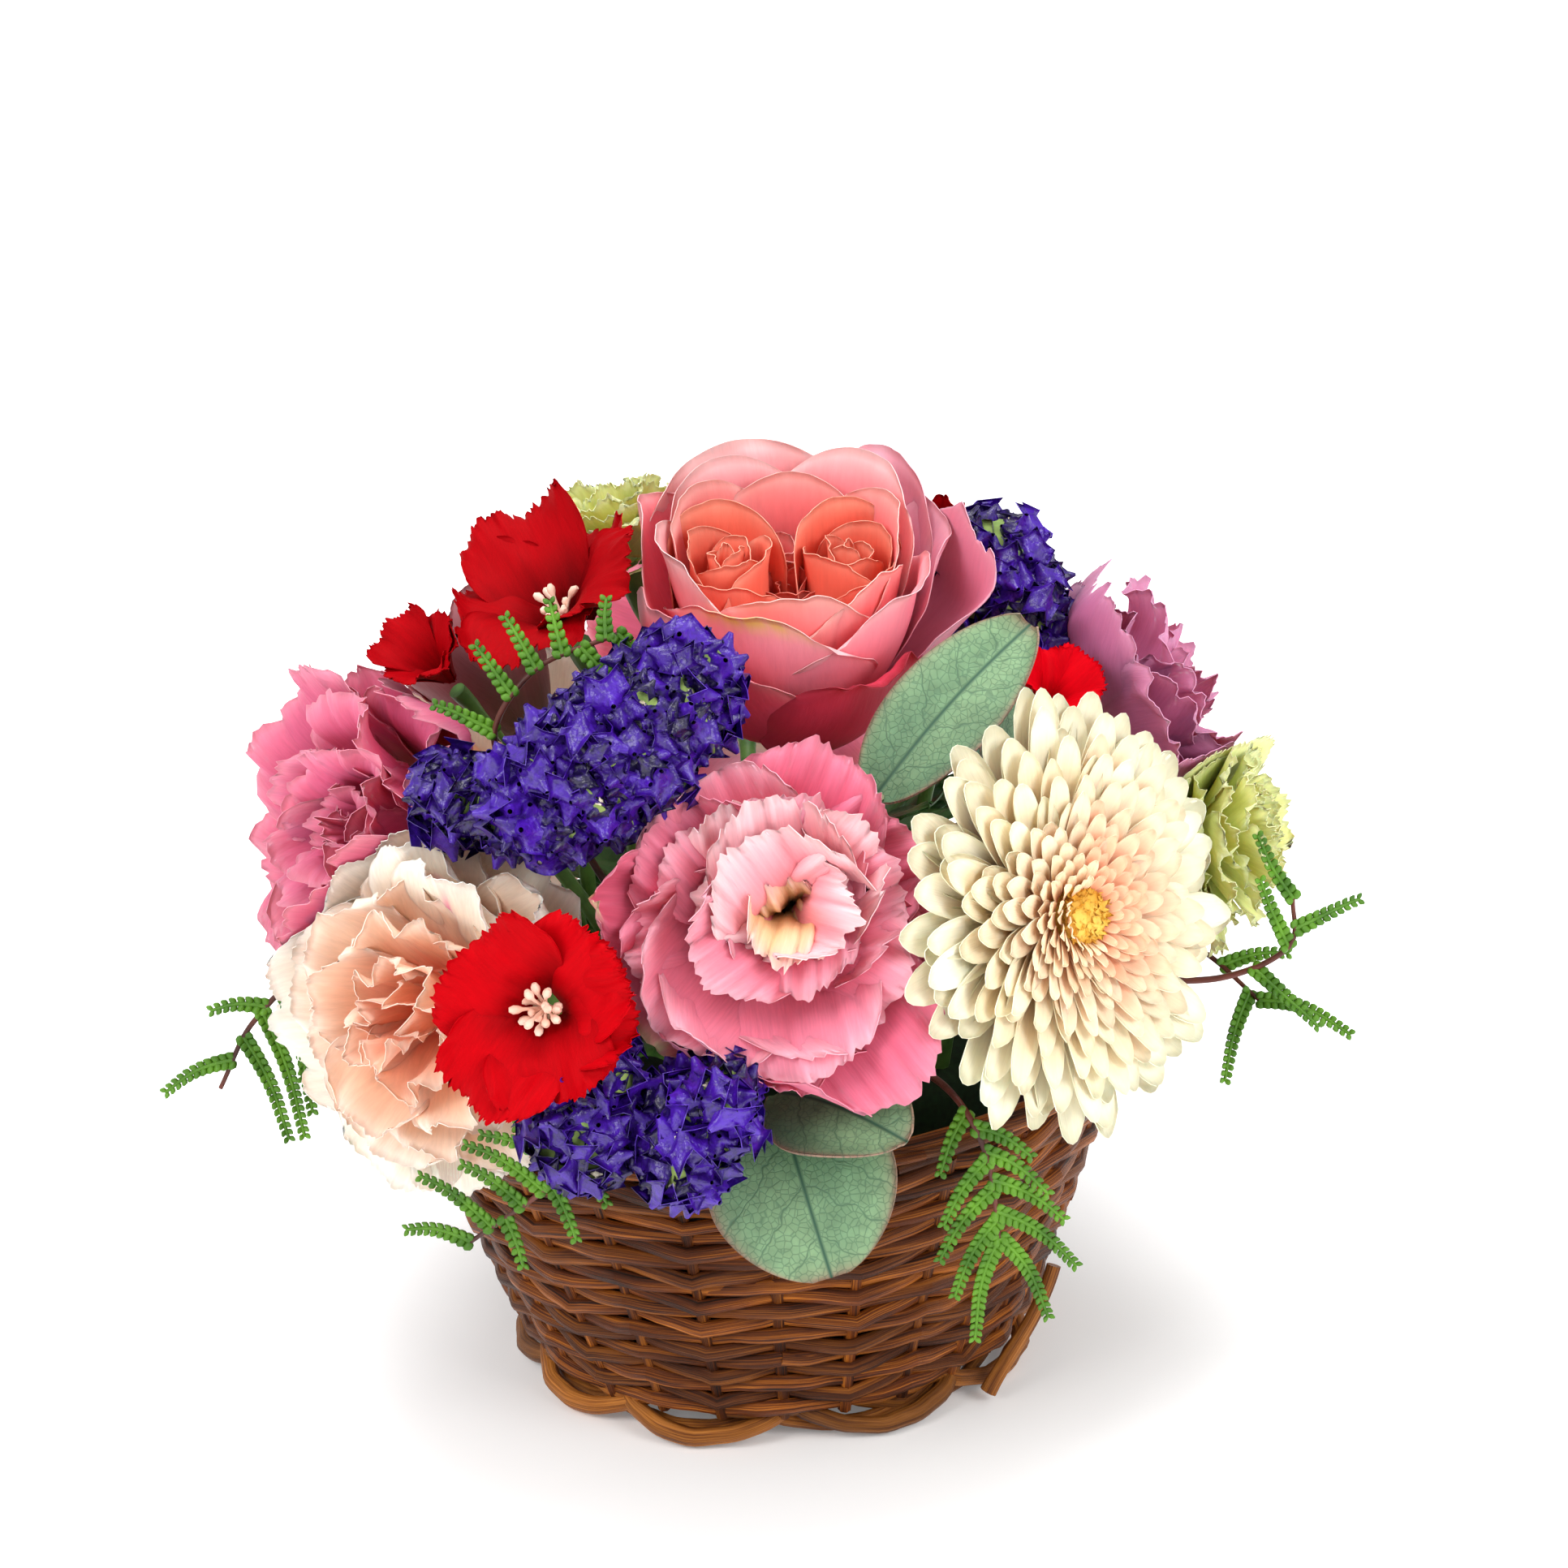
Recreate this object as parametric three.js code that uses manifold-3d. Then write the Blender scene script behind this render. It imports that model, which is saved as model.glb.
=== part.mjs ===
// A small round flower basket: a woven willow basket with a liner and a block of wet
// foam in it, and cut flowers, statice, eucalyptus and coral fern standing in the foam.
// Millimetres, +Z up. The origin is the basket's axis on the table it stands on, and
// the front of the arrangement faces -Y.
import * as THREE from 'three';
import { mergeVertices } from 'three/addons/utils/BufferGeometryUtils.js';
import Module from 'manifold-3d';

const wasm = await Module();
wasm.setup();

// ---------- driving dimensions ----------

const BASKET_HEIGHT = 66;
const FOOT_RADIUS = 46; // outside of the foot border, at the table
const RIM_RADIUS = 70; // outside of the rim border
const STAKES = 10; // upright rods that the weavers pass in front of and behind
const ROWS = 18; // weavers, one above the other
const ROD = 3; // willow rod diameter
const FOOT_HEIGHT = 6.2;
const RIM_HEIGHT = 6.6;
const WALL_THICKNESS = 3.6;
const WAVE = 1.1; // how far a weaver swings in and out at a stake
const LINER_THICKNESS = 0.8;
const FOAM_TOP = 63;
const FOAM_RADIUS = 45;
const STEM_DEPTH = 24; // how far a stem is pushed into the foam
const SEAT = 0.3; // gap between two pieces that touch
const SHEET = 0.7; // petal and leaf thickness

const UP = new THREE.Vector3(0, 0, 1);
const V = (x, y, z) => new THREE.Vector3(x, y, z);
const rad = THREE.MathUtils.degToRad;

// ---------- solids ----------

// A geometry with its shared corners merged and its faces turned to point out.
function closed(geometry) {
  const bare = geometry.clone();
  bare.deleteAttribute('normal');
  bare.deleteAttribute('uv');
  const merged = mergeVertices(bare, 1e-3);
  const index = merged.index.array;
  const corner = (i) => new THREE.Vector3().fromBufferAttribute(merged.attributes.position, index[i]);
  let volume = 0;
  for (let i = 0; i < index.length; i += 3) {
    volume += corner(i).dot(corner(i + 1).cross(corner(i + 2)));
  }
  if (volume < 0) index.reverse();
  return merged;
}

// A closed geometry as a solid that can be joined and cut.
function solid(geometry) {
  const { index, attributes } = closed(geometry);
  return new wasm.Manifold(
    new wasm.Mesh({
      numProp: 3,
      vertProperties: new Float32Array(attributes.position.array),
      triVerts: new Uint32Array(index.array),
    }),
  );
}

const join = (solids) => solids.reduce((whole, piece) => whole.add(piece));

function shell(points, triangles) {
  return new THREE.BufferGeometry().setFromPoints(points).setIndex(triangles.flat());
}

function geometryOf(joined) {
  const { numProp, vertProperties, triVerts } = joined.getMesh();
  const geometry = new THREE.BufferGeometry();
  const points = [];
  for (let i = 0; i < vertProperties.length; i += numProp) {
    points.push(V(...vertProperties.slice(i, i + 3)));
  }
  geometry.setFromPoints(points).setIndex([...triVerts]);
  return geometry;
}

// The one body of a joined solid: a sealed hollow is filled and a loose scrap is dropped.
function mainBody(joined) {
  const bodies = solid(geometryOf(joined)).decompose();
  return geometryOf(bodies.reduce((most, body) => (body.volume() > most.volume() ? body : most)));
}

// ---------- one sheet: a petal, a leaf or a leaflet ----------

// A thin closed blade around rows of points, split into triangles alike on both faces.
// Its first row is its root: two points, from which the next row fans out.
function blade(rows, thickness = SHEET) {
  const last = rows.length - 1;
  const columns = rows[last].length;
  const at = (i, j) => rows[i][Math.round((j / (columns - 1)) * (rows[i].length - 1))];
  const start = rows.map((_, i) => rows.slice(0, i).reduce((sum, row) => sum + row.length, 0));
  const upper = [];
  const lower = [];
  rows.forEach((row, i) => row.forEach((p, k) => {
    const j = (k / (row.length - 1)) * (columns - 1);
    const along = at(Math.min(i + 1, last), j).clone().sub(at(Math.max(i - 1, 0), j));
    const over = row[Math.min(k + 1, row.length - 1)].clone().sub(row[Math.max(k - 1, 0)]);
    const normal = along.cross(over).normalize().multiplyScalar(thickness / 2);
    upper.push(p.clone().add(normal));
    lower.push(p.clone().sub(normal));
  }));
  const count = upper.length;
  const triangles = [];
  const facet = (a, b, c) => {
    triangles.push([a, b, c], [count + a, count + c, count + b]);
  };
  for (let i = 0; i < last; i++) {
    const far = rows[i + 1].length - 1;
    const even = rows[i].length - 1 === far;
    const split = Math.ceil(far / 2);
    for (let j = 0; j < far; j++) {
      const fan = j < split ? 0 : 1;
      const [a, c, d] = [start[i] + (even ? j : fan), start[i + 1] + j + 1, start[i + 1] + j];
      facet(a, c, d);
      if (even || j === split - 1) facet(a, a + 1, c);
    }
  }
  const rim = [];
  rows[0].forEach((_, k) => rim.push(k));
  for (let i = 1; i < last; i++) rim.push(start[i] + rows[i].length - 1);
  rows[last].forEach((_, k) => rim.push(start[last] + columns - 1 - k));
  for (let i = last - 1; i > 0; i--) rim.push(start[i]);
  rim.forEach((a, k) => {
    const b = rim[(k + 1) % rim.length];
    triangles.push([b, a, count + a], [b, count + a, count + b]);
  });
  return shell([...upper, ...lower], triangles);
}

// The directions of a bloom: along its axis, towards its top edge, and to its left.
function frame(axis) {
  const a = V(...axis).normalize();
  const top = UP.clone().addScaledVector(a, -a.z).normalize();
  return { a, top, left: a.clone().cross(top) };
}

const PETAL = {
  count: 5, turn: 0, off: [0, 0], r0: 2, h0: 0, length: 30, half: 12, out0: 20, out1: 60,
  bend: 1, lip: 0, lipFrom: 0.7, cup0: 10, cup1: 30, claw: 0.35, drop: 0.15, ruffle: 0,
  waves: 3, notch: 0, skew: 0.5, spread: 0.94,
  from: 0, tip: 0.7, along: 2, across: 4,
};

// The rib of a petal in the plane through the bloom's axis: [out, up, angle from the axis].
function rib(w, u) {
  const steps = 12;
  let [out, up, angle] = [w.r0, w.h0, w.out0];
  for (let k = 0; k < steps; k++) {
    const t = (u * (k + 0.5)) / steps;
    const lip = Math.max(0, (t - w.lipFrom) / (1 - w.lipFrom));
    angle = w.out0 + (w.out1 - w.out0) * t ** w.bend + w.lip * lip * lip;
    out += (Math.sin(rad(angle)) * w.length * u) / steps;
    up += (Math.cos(rad(angle)) * w.length * u) / steps;
  }
  return [out, up, rad(angle)];
}

// Half the width of a petal at u along it: a narrow claw, a full blade and a rounded tip,
// within its share of the whorl's circle.
function halfWidth(w, u, out) {
  const fan = w.claw + (1 - w.claw) * Math.sin((Math.PI / 2) * Math.min(1, u / 0.62));
  const end = Math.max(0, (u - 0.62) / 0.38);
  const share = (w.spread * Math.PI * out) / w.count;
  return Math.min(w.half * fan, share) * Math.sqrt(1 - (1 - w.tip ** 2) * end * end);
}

// The grid of points of petal number k of a whorl on a bloom.
function petal(bloom, whorl, k) {
  const w = { ...PETAL, ...whorl };
  const { a, top, left } = bloom.frame;
  const size = bloom.size;
  const angle = rad(w.turn + bloom.turn + (360 * k) / w.count);
  const outward = top.clone().multiplyScalar(Math.cos(angle)).addScaledVector(left, Math.sin(angle));
  const side = a.clone().cross(outward);
  const centre = bloom.base.clone()
    .addScaledVector(top, w.off[0] * size).addScaledVector(left, w.off[1] * size);
  const rows = [];
  for (let i = 0; i <= w.along; i++) {
    const row = [];
    const across = i ? w.across : 1;
    for (let j = 0; j <= across; j++) {
      const u = w.from + ((1 - w.from) * i) / w.along;
      const v = (2 * j) / across - 1;
      const last = i === w.along && j % 2 === 1 ? w.notch : 0;
      const [out, up, lean] = rib(w, u * (1 - w.drop * v * v * u) - last);
      const cup = w.cup0 + (w.cup1 - w.cup0) * u;
      const turn = (v * halfWidth(w, u, out)) / cup;
      const edge = Math.max(u * u, Math.abs(v) * u);
      const wave = w.ruffle * edge * edge * Math.sin(w.waves * Math.PI * v + 2.4 * k + w.turn);
      const inward = cup * (1 - Math.cos(turn)) + wave - w.skew * v * Math.min(1, 2 * u);
      const p = centre.clone()
        .addScaledVector(outward, (out - Math.cos(lean) * inward) * size)
        .addScaledVector(a, (up + Math.sin(lean) * inward) * size)
        .addScaledVector(side, cup * Math.sin(turn) * size);
      row.push(inCell(p, bloom));
    }
    rows.push(row);
  }
  return rows;
}

// ---------- room for each bloom ----------

const CELL_SOFT = 6; // depth over which a petal that meets a neighbour bends away from it
const CELL_GAP = 0.75; // from a petal's middle to the plane shared with the neighbour
const HANG_RADIUS = RIM_RADIUS + 5; // a petal that hangs below the rim stays outside this
const HANG_FROM = 84; // height at which it starts to bend out over the rim
const HANG_OVER = 14; // height over which it does

// Moves a point back into the bloom's own room, softly, where neighbours press on it.
function inCell(p, bloom) {
  for (let pass = 0; pass < 3; pass++) {
    for (const { normal, reach } of bloom.walls ?? []) {
      const past = p.dot(normal) - reach + CELL_SOFT + CELL_GAP;
      if (past > 0) {
        const kept = CELL_SOFT * (1 - Math.exp(-past / CELL_SOFT));
        p.addScaledVector(normal, kept - past);
      }
    }
  }
  const radius = Math.hypot(p.x, p.y);
  const low = THREE.MathUtils.clamp((HANG_FROM - p.z) / HANG_OVER, 0, 1);
  if (radius > FOAM_RADIUS && radius < HANG_RADIUS) {
    const out = 1 + low * (HANG_RADIUS / radius - 1);
    p.set(p.x * out, p.y * out, p.z);
  }
  return p;
}

// The planes that share the room between neighbours, each nearer to the smaller of the two.
// A room has a heart, a reach and an owner, and rooms of one owner run into each other.
function shareRoom(rooms) {
  for (const one of rooms) {
    one.walls = [];
    for (const other of rooms) {
      const away = other.heart.clone().sub(one.heart);
      const d = away.length();
      if (other.owner === one.owner || d > one.reach + other.reach + 6) continue;
      const t = (d * d + one.reach ** 2 - other.reach ** 2) / (2 * d);
      const normal = away.divideScalar(d);
      one.walls.push({ normal, reach: one.heart.dot(normal) + t });
    }
  }
}

// ---------- kinds of bloom ----------

// A garden rose with two hearts: guard petals, cupped outer petals with rolled lips, and
// tightly wrapped petals round each heart.
const ROSE = {
  sides: 6, stem: 2.2, calyx: [4.5, 7],
  sepals: { count: 4, r0: 3, h0: -1.5, length: 16, half: 3, out0: 100, out1: 84, cup0: 9, cup1: 9,
    tip: 0.15, drop: 0, claw: 0.9, along: 1, across: 1 },
  whorls: [
    { count: 3, turn: 60, r0: 4, h0: 1, length: 41, half: 20, out0: 82, out1: 12, bend: 0.7,
      lip: 80, lipFrom: 0.7, cup0: 14, cup1: 30, drop: 0.22, from: 0.14, along: 2, across: 3 },
    { count: 5, turn: 10, r0: 4, h0: 3, length: 44, half: 19, out0: 62, out1: 4, bend: 0.7,
      lip: 45, lipFrom: 0.75, cup0: 12, cup1: 26, drop: 0.2, from: 0.2, along: 2, across: 3 },
    { count: 4, turn: 46, r0: 3, h0: 5, length: 41, half: 18, out0: 48, out1: 0, bend: 0.7,
      lip: 20, lipFrom: 0.8, cup0: 9, cup1: 18, drop: 0.2, from: 0.35, along: 2, across: 3 },
    ...[-1, 1].flatMap((hand) => [
      { count: 2, turn: 30 * hand, off: [0, 6.5 * hand], r0: 3.6, h0: 18, length: 21, half: 4.5,
        out0: 12, out1: 4, cup0: 6, cup1: 6.5, drop: 0.12, from: 0.3, along: 1, across: 2 },
      { count: 1, turn: 80 * hand, off: [0, 6.5 * hand], r0: 0.4, h0: 18, length: 20, half: 3,
        out0: 4, out1: 2, cup0: 4, cup1: 4, drop: 0.12, spread: 9, from: 0.3, along: 1, across: 2 },
    ]),
  ],
};

// A double lisianthus: a deep cup of broad petals with ruffled, turned-out margins.
const LISIANTHUS = {
  sides: 6, stem: 1.6, calyx: [3.2, 4],
  sepals: { count: 2, turn: 40, r0: 2, h0: -1, length: 20, half: 2, out0: 74, out1: 84, cup0: 9,
    cup1: 9, tip: 0.3, drop: 0, claw: 0.9, along: 1, across: 1 },
  whorls: [
    { count: 5, turn: 0, r0: 2, length: 46, half: 21, out0: 46, out1: 40, lip: 70, lipFrom: 0.62,
      cup0: 8, cup1: 40, claw: 0.3, ruffle: 1.4, waves: 2, from: 0.22, along: 2, across: 3 },
    { count: 4, turn: 30, r0: 1.5, h0: 1, length: 40, half: 15, out0: 28, out1: 18, lip: 70,
      lipFrom: 0.68, cup0: 8, cup1: 20, claw: 0.3, ruffle: 1.3, waves: 2, from: 0.4, along: 2,
      across: 3 },
    { count: 2, turn: 70, r0: 1, h0: 2, length: 33, half: 8, out0: 12, out1: 8, lip: 40,
      lipFrom: 0.7, cup0: 6, cup1: 9, claw: 0.4, ruffle: 1, waves: 2, from: 0.5, along: 1,
      across: 2 },
  ],
};

// A lisianthus with fewer petals inside the outer ones.
const LISIANTHUS_PLAIN = { ...LISIANTHUS, whorls: LISIANTHUS.whorls.slice(0, 2) };

// A half-open lisianthus bud: petals wrapped one over the other.
const BUD = {
  sides: 6, stem: 1.6, calyx: [3.2, 4],
  whorls: [
    { count: 4, turn: 0, r0: 2, length: 33, half: 15, out0: 46, out1: 4, bend: 0.8, lip: 30,
      lipFrom: 0.8, cup0: 7, cup1: 16, claw: 0.3, ruffle: 0.8, waves: 2, from: 0.2, along: 2,
      across: 3 },
  ],
};

// A double gerbera: rings of strap-like rays, shorter and more upright towards the eye.
const GERBERA = {
  sides: 7, stem: 2.4, calyx: [8, 5],
  whorls: [
    { count: 15, turn: 0, r0: 9, h0: 1.4, length: 28.5, half: 5.2, out0: 86, out1: 76, cup0: 30,
      cup1: 20, claw: 0.45, tip: 0.85, drop: 0.06, along: 1, across: 1 },
    { count: 11, turn: 11, r0: 8.5, h0: 4.0, length: 24, half: 5, out0: 76, out1: 72, cup0: 30,
      cup1: 20, claw: 0.45, tip: 0.85, drop: 0.06, along: 1, across: 1 },
    { count: 9, turn: 3, r0: 7.5, h0: 6.2, length: 18, half: 4.2, out0: 66, out1: 66, cup0: 30,
      cup1: 20, claw: 0.5, tip: 0.85, drop: 0.06, along: 1, across: 1 },
    { count: 7, turn: 17, r0: 6, h0: 7.6, length: 12, half: 3.2, out0: 50, out1: 56, cup0: 30,
      cup1: 20, claw: 0.6, tip: 0.85, drop: 0.06, along: 1, across: 1 },
  ],
};

// A carnation: a tight head of fan-shaped petals with toothed, wavy ends.
const CARNATION = {
  sides: 6, stem: 1.7, calyx: [4.2, 16],
  whorls: [
    { count: 5, turn: 0, r0: 4, h0: 1, length: 31, half: 19, out0: 82, out1: 96, cup0: 12,
      cup1: 50, claw: 0.3, ruffle: 1.2, waves: 2, notch: 0.05, from: 0.2, along: 2, across: 3 },
    { count: 5, turn: 30, r0: 4, h0: 4, length: 30, half: 15, out0: 58, out1: 68, cup0: 10,
      cup1: 34, claw: 0.3, ruffle: 1.2, waves: 2, notch: 0.05, from: 0.35, along: 1, across: 2 },
    { count: 4, turn: 10, r0: 3, h0: 6.5, length: 27, half: 13, out0: 34, out1: 44, cup0: 10,
      cup1: 20, claw: 0.4, ruffle: 1.2, waves: 2, notch: 0.05, from: 0.42, along: 1, across: 2 },
    { count: 2, turn: 50, r0: 2, h0: 8, length: 22, half: 8, out0: 10, out1: 18, cup0: 8, cup1: 12,
      claw: 0.5, ruffle: 1, waves: 2, notch: 0.05, from: 0.5, along: 1, across: 2 },
  ],
};

const CARNATION_PLAIN = { ...CARNATION, whorls: CARNATION.whorls.slice(0, 2) };

// A single dianthus: flat fan petals with sawn edges round a few anthers.
const DIANTHUS = {
  sides: 5, stem: 1.1, calyx: [2.6, 15],
  whorls: [
    { count: 5, turn: 0, r0: 1.6, h0: 1, length: 25, half: 11, out0: 12, out1: 96, bend: 0.8,
      cup0: 8, cup1: 40, claw: 0.15, tip: 0.85, ruffle: 0.6, waves: 2, notch: 0.07, from: 0.32,
      along: 2, across: 3 },
    { count: 2, turn: 25, r0: 0.9, h0: 8, length: 9, half: 0.7, out0: 14, out1: 26, cup0: 9,
      cup1: 9, claw: 0.9, tip: 0.9, drop: 0, along: 1, across: 1 },
  ],
};

// A dianthus just opening, its petals still upright round one another.
const DIANTHUS_BUD = {
  sides: 5, stem: 1, calyx: [2.6, 13],
  whorls: [
    { count: 3, turn: 0, r0: 1.6, h0: 1, length: 22, half: 11, out0: 8, out1: 70, bend: 1.3,
      cup0: 6, cup1: 20, claw: 0.15, tip: 0.85, ruffle: 0.6, waves: 2, notch: 0.07, from: 0.4,
      along: 2, across: 3 },
  ],
};

// A small green carnation, looser and flatter than the large one.
const GREEN = {
  sides: 5, stem: 1.4, calyx: [3, 12],
  whorls: [
    { count: 5, turn: 0, r0: 3, h0: 1, length: 20, half: 11, out0: 74, out1: 92, cup0: 10,
      cup1: 40, claw: 0.3, ruffle: 1, waves: 2, notch: 0.06, from: 0.25, along: 1, across: 3 },
    { count: 4, turn: 36, r0: 2.5, h0: 3.5, length: 18, half: 9.5, out0: 40, out1: 56, cup0: 9,
      cup1: 24, claw: 0.3, ruffle: 1, waves: 2, notch: 0.06, from: 0.4, along: 1, across: 2 },
    { count: 2, turn: 10, r0: 1.6, h0: 5, length: 14, half: 6, out0: 10, out1: 20, cup0: 6,
      cup1: 9, claw: 0.4, ruffle: 0.8, waves: 2, notch: 0.06, from: 0.45, along: 1, across: 2 },
  ],
};

// ---------- where each bloom stands ----------

// Name, kind, middle of the open face, the way it faces, depth from face to calyx, size,
// room it takes, turn about its own axis, and where its stem enters the foam.
const BLOOMS = [
  ['rose', ROSE, [9, -14, 155], [0.03, -0.25, 0.97], 38, 1, 31, 0, [4, -3]],
  ['lisianthus_front', LISIANTHUS, [1, -75, 110], [0, -0.93, 0.36], 33, 1.06, 29, 8, [2, -30]],
  ['gerbera', GERBERA, [54, -62, 104], [0.65, -0.72, 0.25], 12, 1, 31, 0, [30, -26]],
  ['carnation_peach', CARNATION, [-60, -59, 91], [-0.5, -0.84, 0.2], 27, 1, 32, 0, [-29, -27]],
  ['dianthus_front', DIANTHUS, [-36, -85, 102], [-0.25, -0.93, 0.28], 15, 0.84, 15, 20, [-7, -38]],
  ['dianthus_left', DIANTHUS, [-33, -17, 151], [-0.35, -0.35, 0.87], 15, 0.9, 16, 30, [-18, -8]],
  ['dianthus_left_small', DIANTHUS_BUD, [-55, -16, 140], [-0.5, -0.4, 0.77], 18, 0.6, 9, 0, [-27, -3]],
  ['lisianthus_left', LISIANTHUS, [-72, -26, 112], [-0.78, -0.54, 0.3], 32, 0.94, 28, 20, [-34, -8]],
  ['lisianthus_bud', BUD, [-50, 15, 134], [-0.5, 0.55, 0.67], 28, 0.9, 17, 0, [-30, 6]],
  ['lisianthus_right', LISIANTHUS_PLAIN, [77, 2, 121], [0.8, 0.12, 0.5], 31, 0.8, 25, 15, [33, 2]],
  ['green_right', GREEN, [91, -17, 102], [0.93, -0.2, 0.25], 19, 0.95, 18, 0, [37, -12]],
  ['green_back', GREEN, [-24, 26, 156], [-0.3, 0.45, 0.84], 19, 0.9, 17, 0, [-12, 14]],
  ['dianthus_right', DIANTHUS_BUD, [54, -21, 131], [0.3, -0.5, 0.8], 18, 0.6, 9, 0, [24, -8]],
  ['dianthus_back', DIANTHUS_BUD, [40, 26, 144], [0.4, 0.4, 0.82], 18, 0.8, 13, 0, [20, 14]],
  ['lisianthus_back', LISIANTHUS_PLAIN, [0, 80, 112], [0, 0.93, 0.36], 33, 0.95, 29, 0, [0, 31]],
  ['carnation_back', CARNATION_PLAIN, [-56, 60, 98], [-0.55, 0.78, 0.3], 27, 0.9, 29, 0, [-27, 27]],
].map(([name, kind, face, axis, depth, size, reach, turn, entry]) => {
  const bloom = { name, kind, frame: frame(axis), size, reach, turn, entry };
  bloom.base = V(...face).addScaledVector(bloom.frame.a, -depth * size);
  bloom.heart = V(...face).addScaledVector(bloom.frame.a, -0.45 * depth * size);
  return bloom;
});

// Heads of statice: chains of round lumps [x, y, z, radius], the lump that the neck leaves
// from, the end of the neck, and the number of florets.
const STATICE = [
  ['statice_left', [[-38, -61, 124, 10], [-29, -58, 130, 12], [-20, -54, 136, 12],
    [-11, -48, 143, 9]], 2, [-20, -42, 121], 20],
  ['statice_left_side', [[-51, -46, 126, 8]], 0, [-42, -34, 116], 6],
  ['statice_front_left', [[-27, -79, 88, 7.5], [-30, -81, 78, 7.5]], 0, [-22, -62, 84], 7],
  ['statice_front_right', [[-9, -82, 84, 8], [-14, -83, 75, 7]], 0, [-10, -64, 80], 7],
  ['statice_right', [[49, 3, 134, 9], [44, 8, 144, 8.5]], 0, [40, 4, 121], 7],
  ['statice_back', [[36, 40, 118, 9], [46, 46, 124, 8]], 0, [26, 34, 104], 7],
].map(([name, lumps, joint, neck, florets]) => ({
  name,
  florets,
  neck: V(...neck),
  joint,
  lumps: lumps.map(([x, y, z, r]) => ({ heart: V(x, y, z), reach: r + 1.5, radius: r })),
}));

// Statice stems: the heads that each carries, and where it enters the foam.
const STATICE_STEMS = [
  ['statice_left_stem', ['statice_left', 'statice_left_side'], [-16, -20]],
  ['statice_front_stem', ['statice_front_left', 'statice_front_right'], [-12, -38]],
  ['statice_right_stem', ['statice_right'], [26, 2]],
  ['statice_back_stem', ['statice_back'], [18, 26]],
];

// Eucalyptus sprigs: where the stem enters the foam, its end, and its leaves as base, tip,
// the way the face looks, and half the width.
const EUCALYPTUS = [
  ['eucalyptus_right', [12, -18], [21, -47, 121], [
    [[20, -46, 120], [48, -31, 144], [-0.35, -0.8, 0.5], 9]]],
  ['eucalyptus_front', [8, -36], [3, -64, 76], [
    [[2, -63, 76], [22, -82, 75], [-0.2, -0.5, 0.85], 10.5],
    [[2, -64, 75], [9, -79, 50], [0.1, -0.97, -0.2], 15]]],
  ['eucalyptus_back', [30, 14], [48, 44, 92], [
    [[46, 42, 91], [70, 56, 112], [0.5, 0.6, 0.6], 12],
    [[46, 42, 90], [58, 82, 82], [0.4, 0.6, 0.7], 14]]],
];

// Coral fern fronds: where each enters the foam, its brown rib, the way its face looks, and
// its leaflets as place along the rib, side, length and angle from the rib.
const FERNS = [
  ['fern_left', [-36, -18], [[-60, -20, 76], [-76, -24, 86], [-88, -26, 78], [-95, -27, 66]],
    [0.1, -0.95, 0.3], [[0.52, -1, 17, 70], [0.62, -1, 20, 62], [0.72, -1, 21, 60],
      [0.82, -1, 18, 55], [0.7, 1, 10, 55], [0.9, 1, 13, 50]]],
  ['fern_right', [39, -20], [[62, -26, 76], [80, -30, 78], [91, -32, 84], [92, -30, 92]],
    [0.2, -0.9, 0.35], [[0.6, 1, 14, 60], [0.75, -1, 16, 60], [0.85, 1, 14, 60], [1, -1, 15, 30]]],
  ['fern_right_low', [40, 6], [[62, 8, 76], [78, -6, 74], [88, -18, 68]],
    [0.2, -0.9, 0.35], [[0.6, 1, 12, 60], [0.8, -1, 13, 65], [0.95, 1, 16, 60], [1, -1, 17, 30]]],
  ['fern_front_left', [-20, -36], [[-30, -64, 75], [-38, -71, 69], [-53, -62, 53]],
    [-0.3, -0.9, 0.1], [[0.4, 1, 13, 50], [0.55, -1, 8, 80], [0.65, 1, 16, 55], [0.75, -1, 9, 70],
      [0.85, 1, 17, 55], [1, -1, 17, 20]]],
  ['fern_front_right', [22, -34], [[30, -66, 76], [35, -73, 68], [37, -72, 52]],
    [0.1, -0.97, 0.1], [[0.45, 1, 10, 60], [0.66, -1, 12, 25],
      [0.75, 1, 15, 40], [0.9, -1, 17, 35], [1, 1, 18, 35]]],
  ['fern_upper_left', [-10, -26], [[-30, -34, 118], [-36, -38, 132], [-26, -36, 140]],
    [-0.1, -0.9, 0.4], [[0.6, -1, 12, 60], [0.72, 1, 13, 60], [0.85, 1, 12, 60], [1, 1, 11, 20]]],
];

// ---------- the group ----------

const basket = new THREE.Group();

function place(name, geometry, color, roughness = 0.7) {
  const material = new THREE.MeshStandardMaterial({ color, roughness, metalness: 0 });
  const mesh = new THREE.Mesh(closed(geometry), material);
  mesh.name = name;
  basket.add(mesh);
}

const WILLOW = 0x6b3e22;
const LEAF_GREEN = 0x4f7a35;
const VIOLET = 0x3a1090;

// ---------- the basket ----------

const wallBottom = FOOT_HEIGHT + SEAT;
const wallTop = BASKET_HEIGHT - RIM_HEIGHT - SEAT;
const flare = (RIM_RADIUS - FOOT_RADIUS) / BASKET_HEIGHT;
const outerRadius = (z) => FOOT_RADIUS + flare * z - WAVE;
const innerRadius = (z) => outerRadius(z) - WALL_THICKNESS;

const spin = (r, angle, z) => V(r * Math.sin(angle), -r * Math.cos(angle), z);

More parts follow.
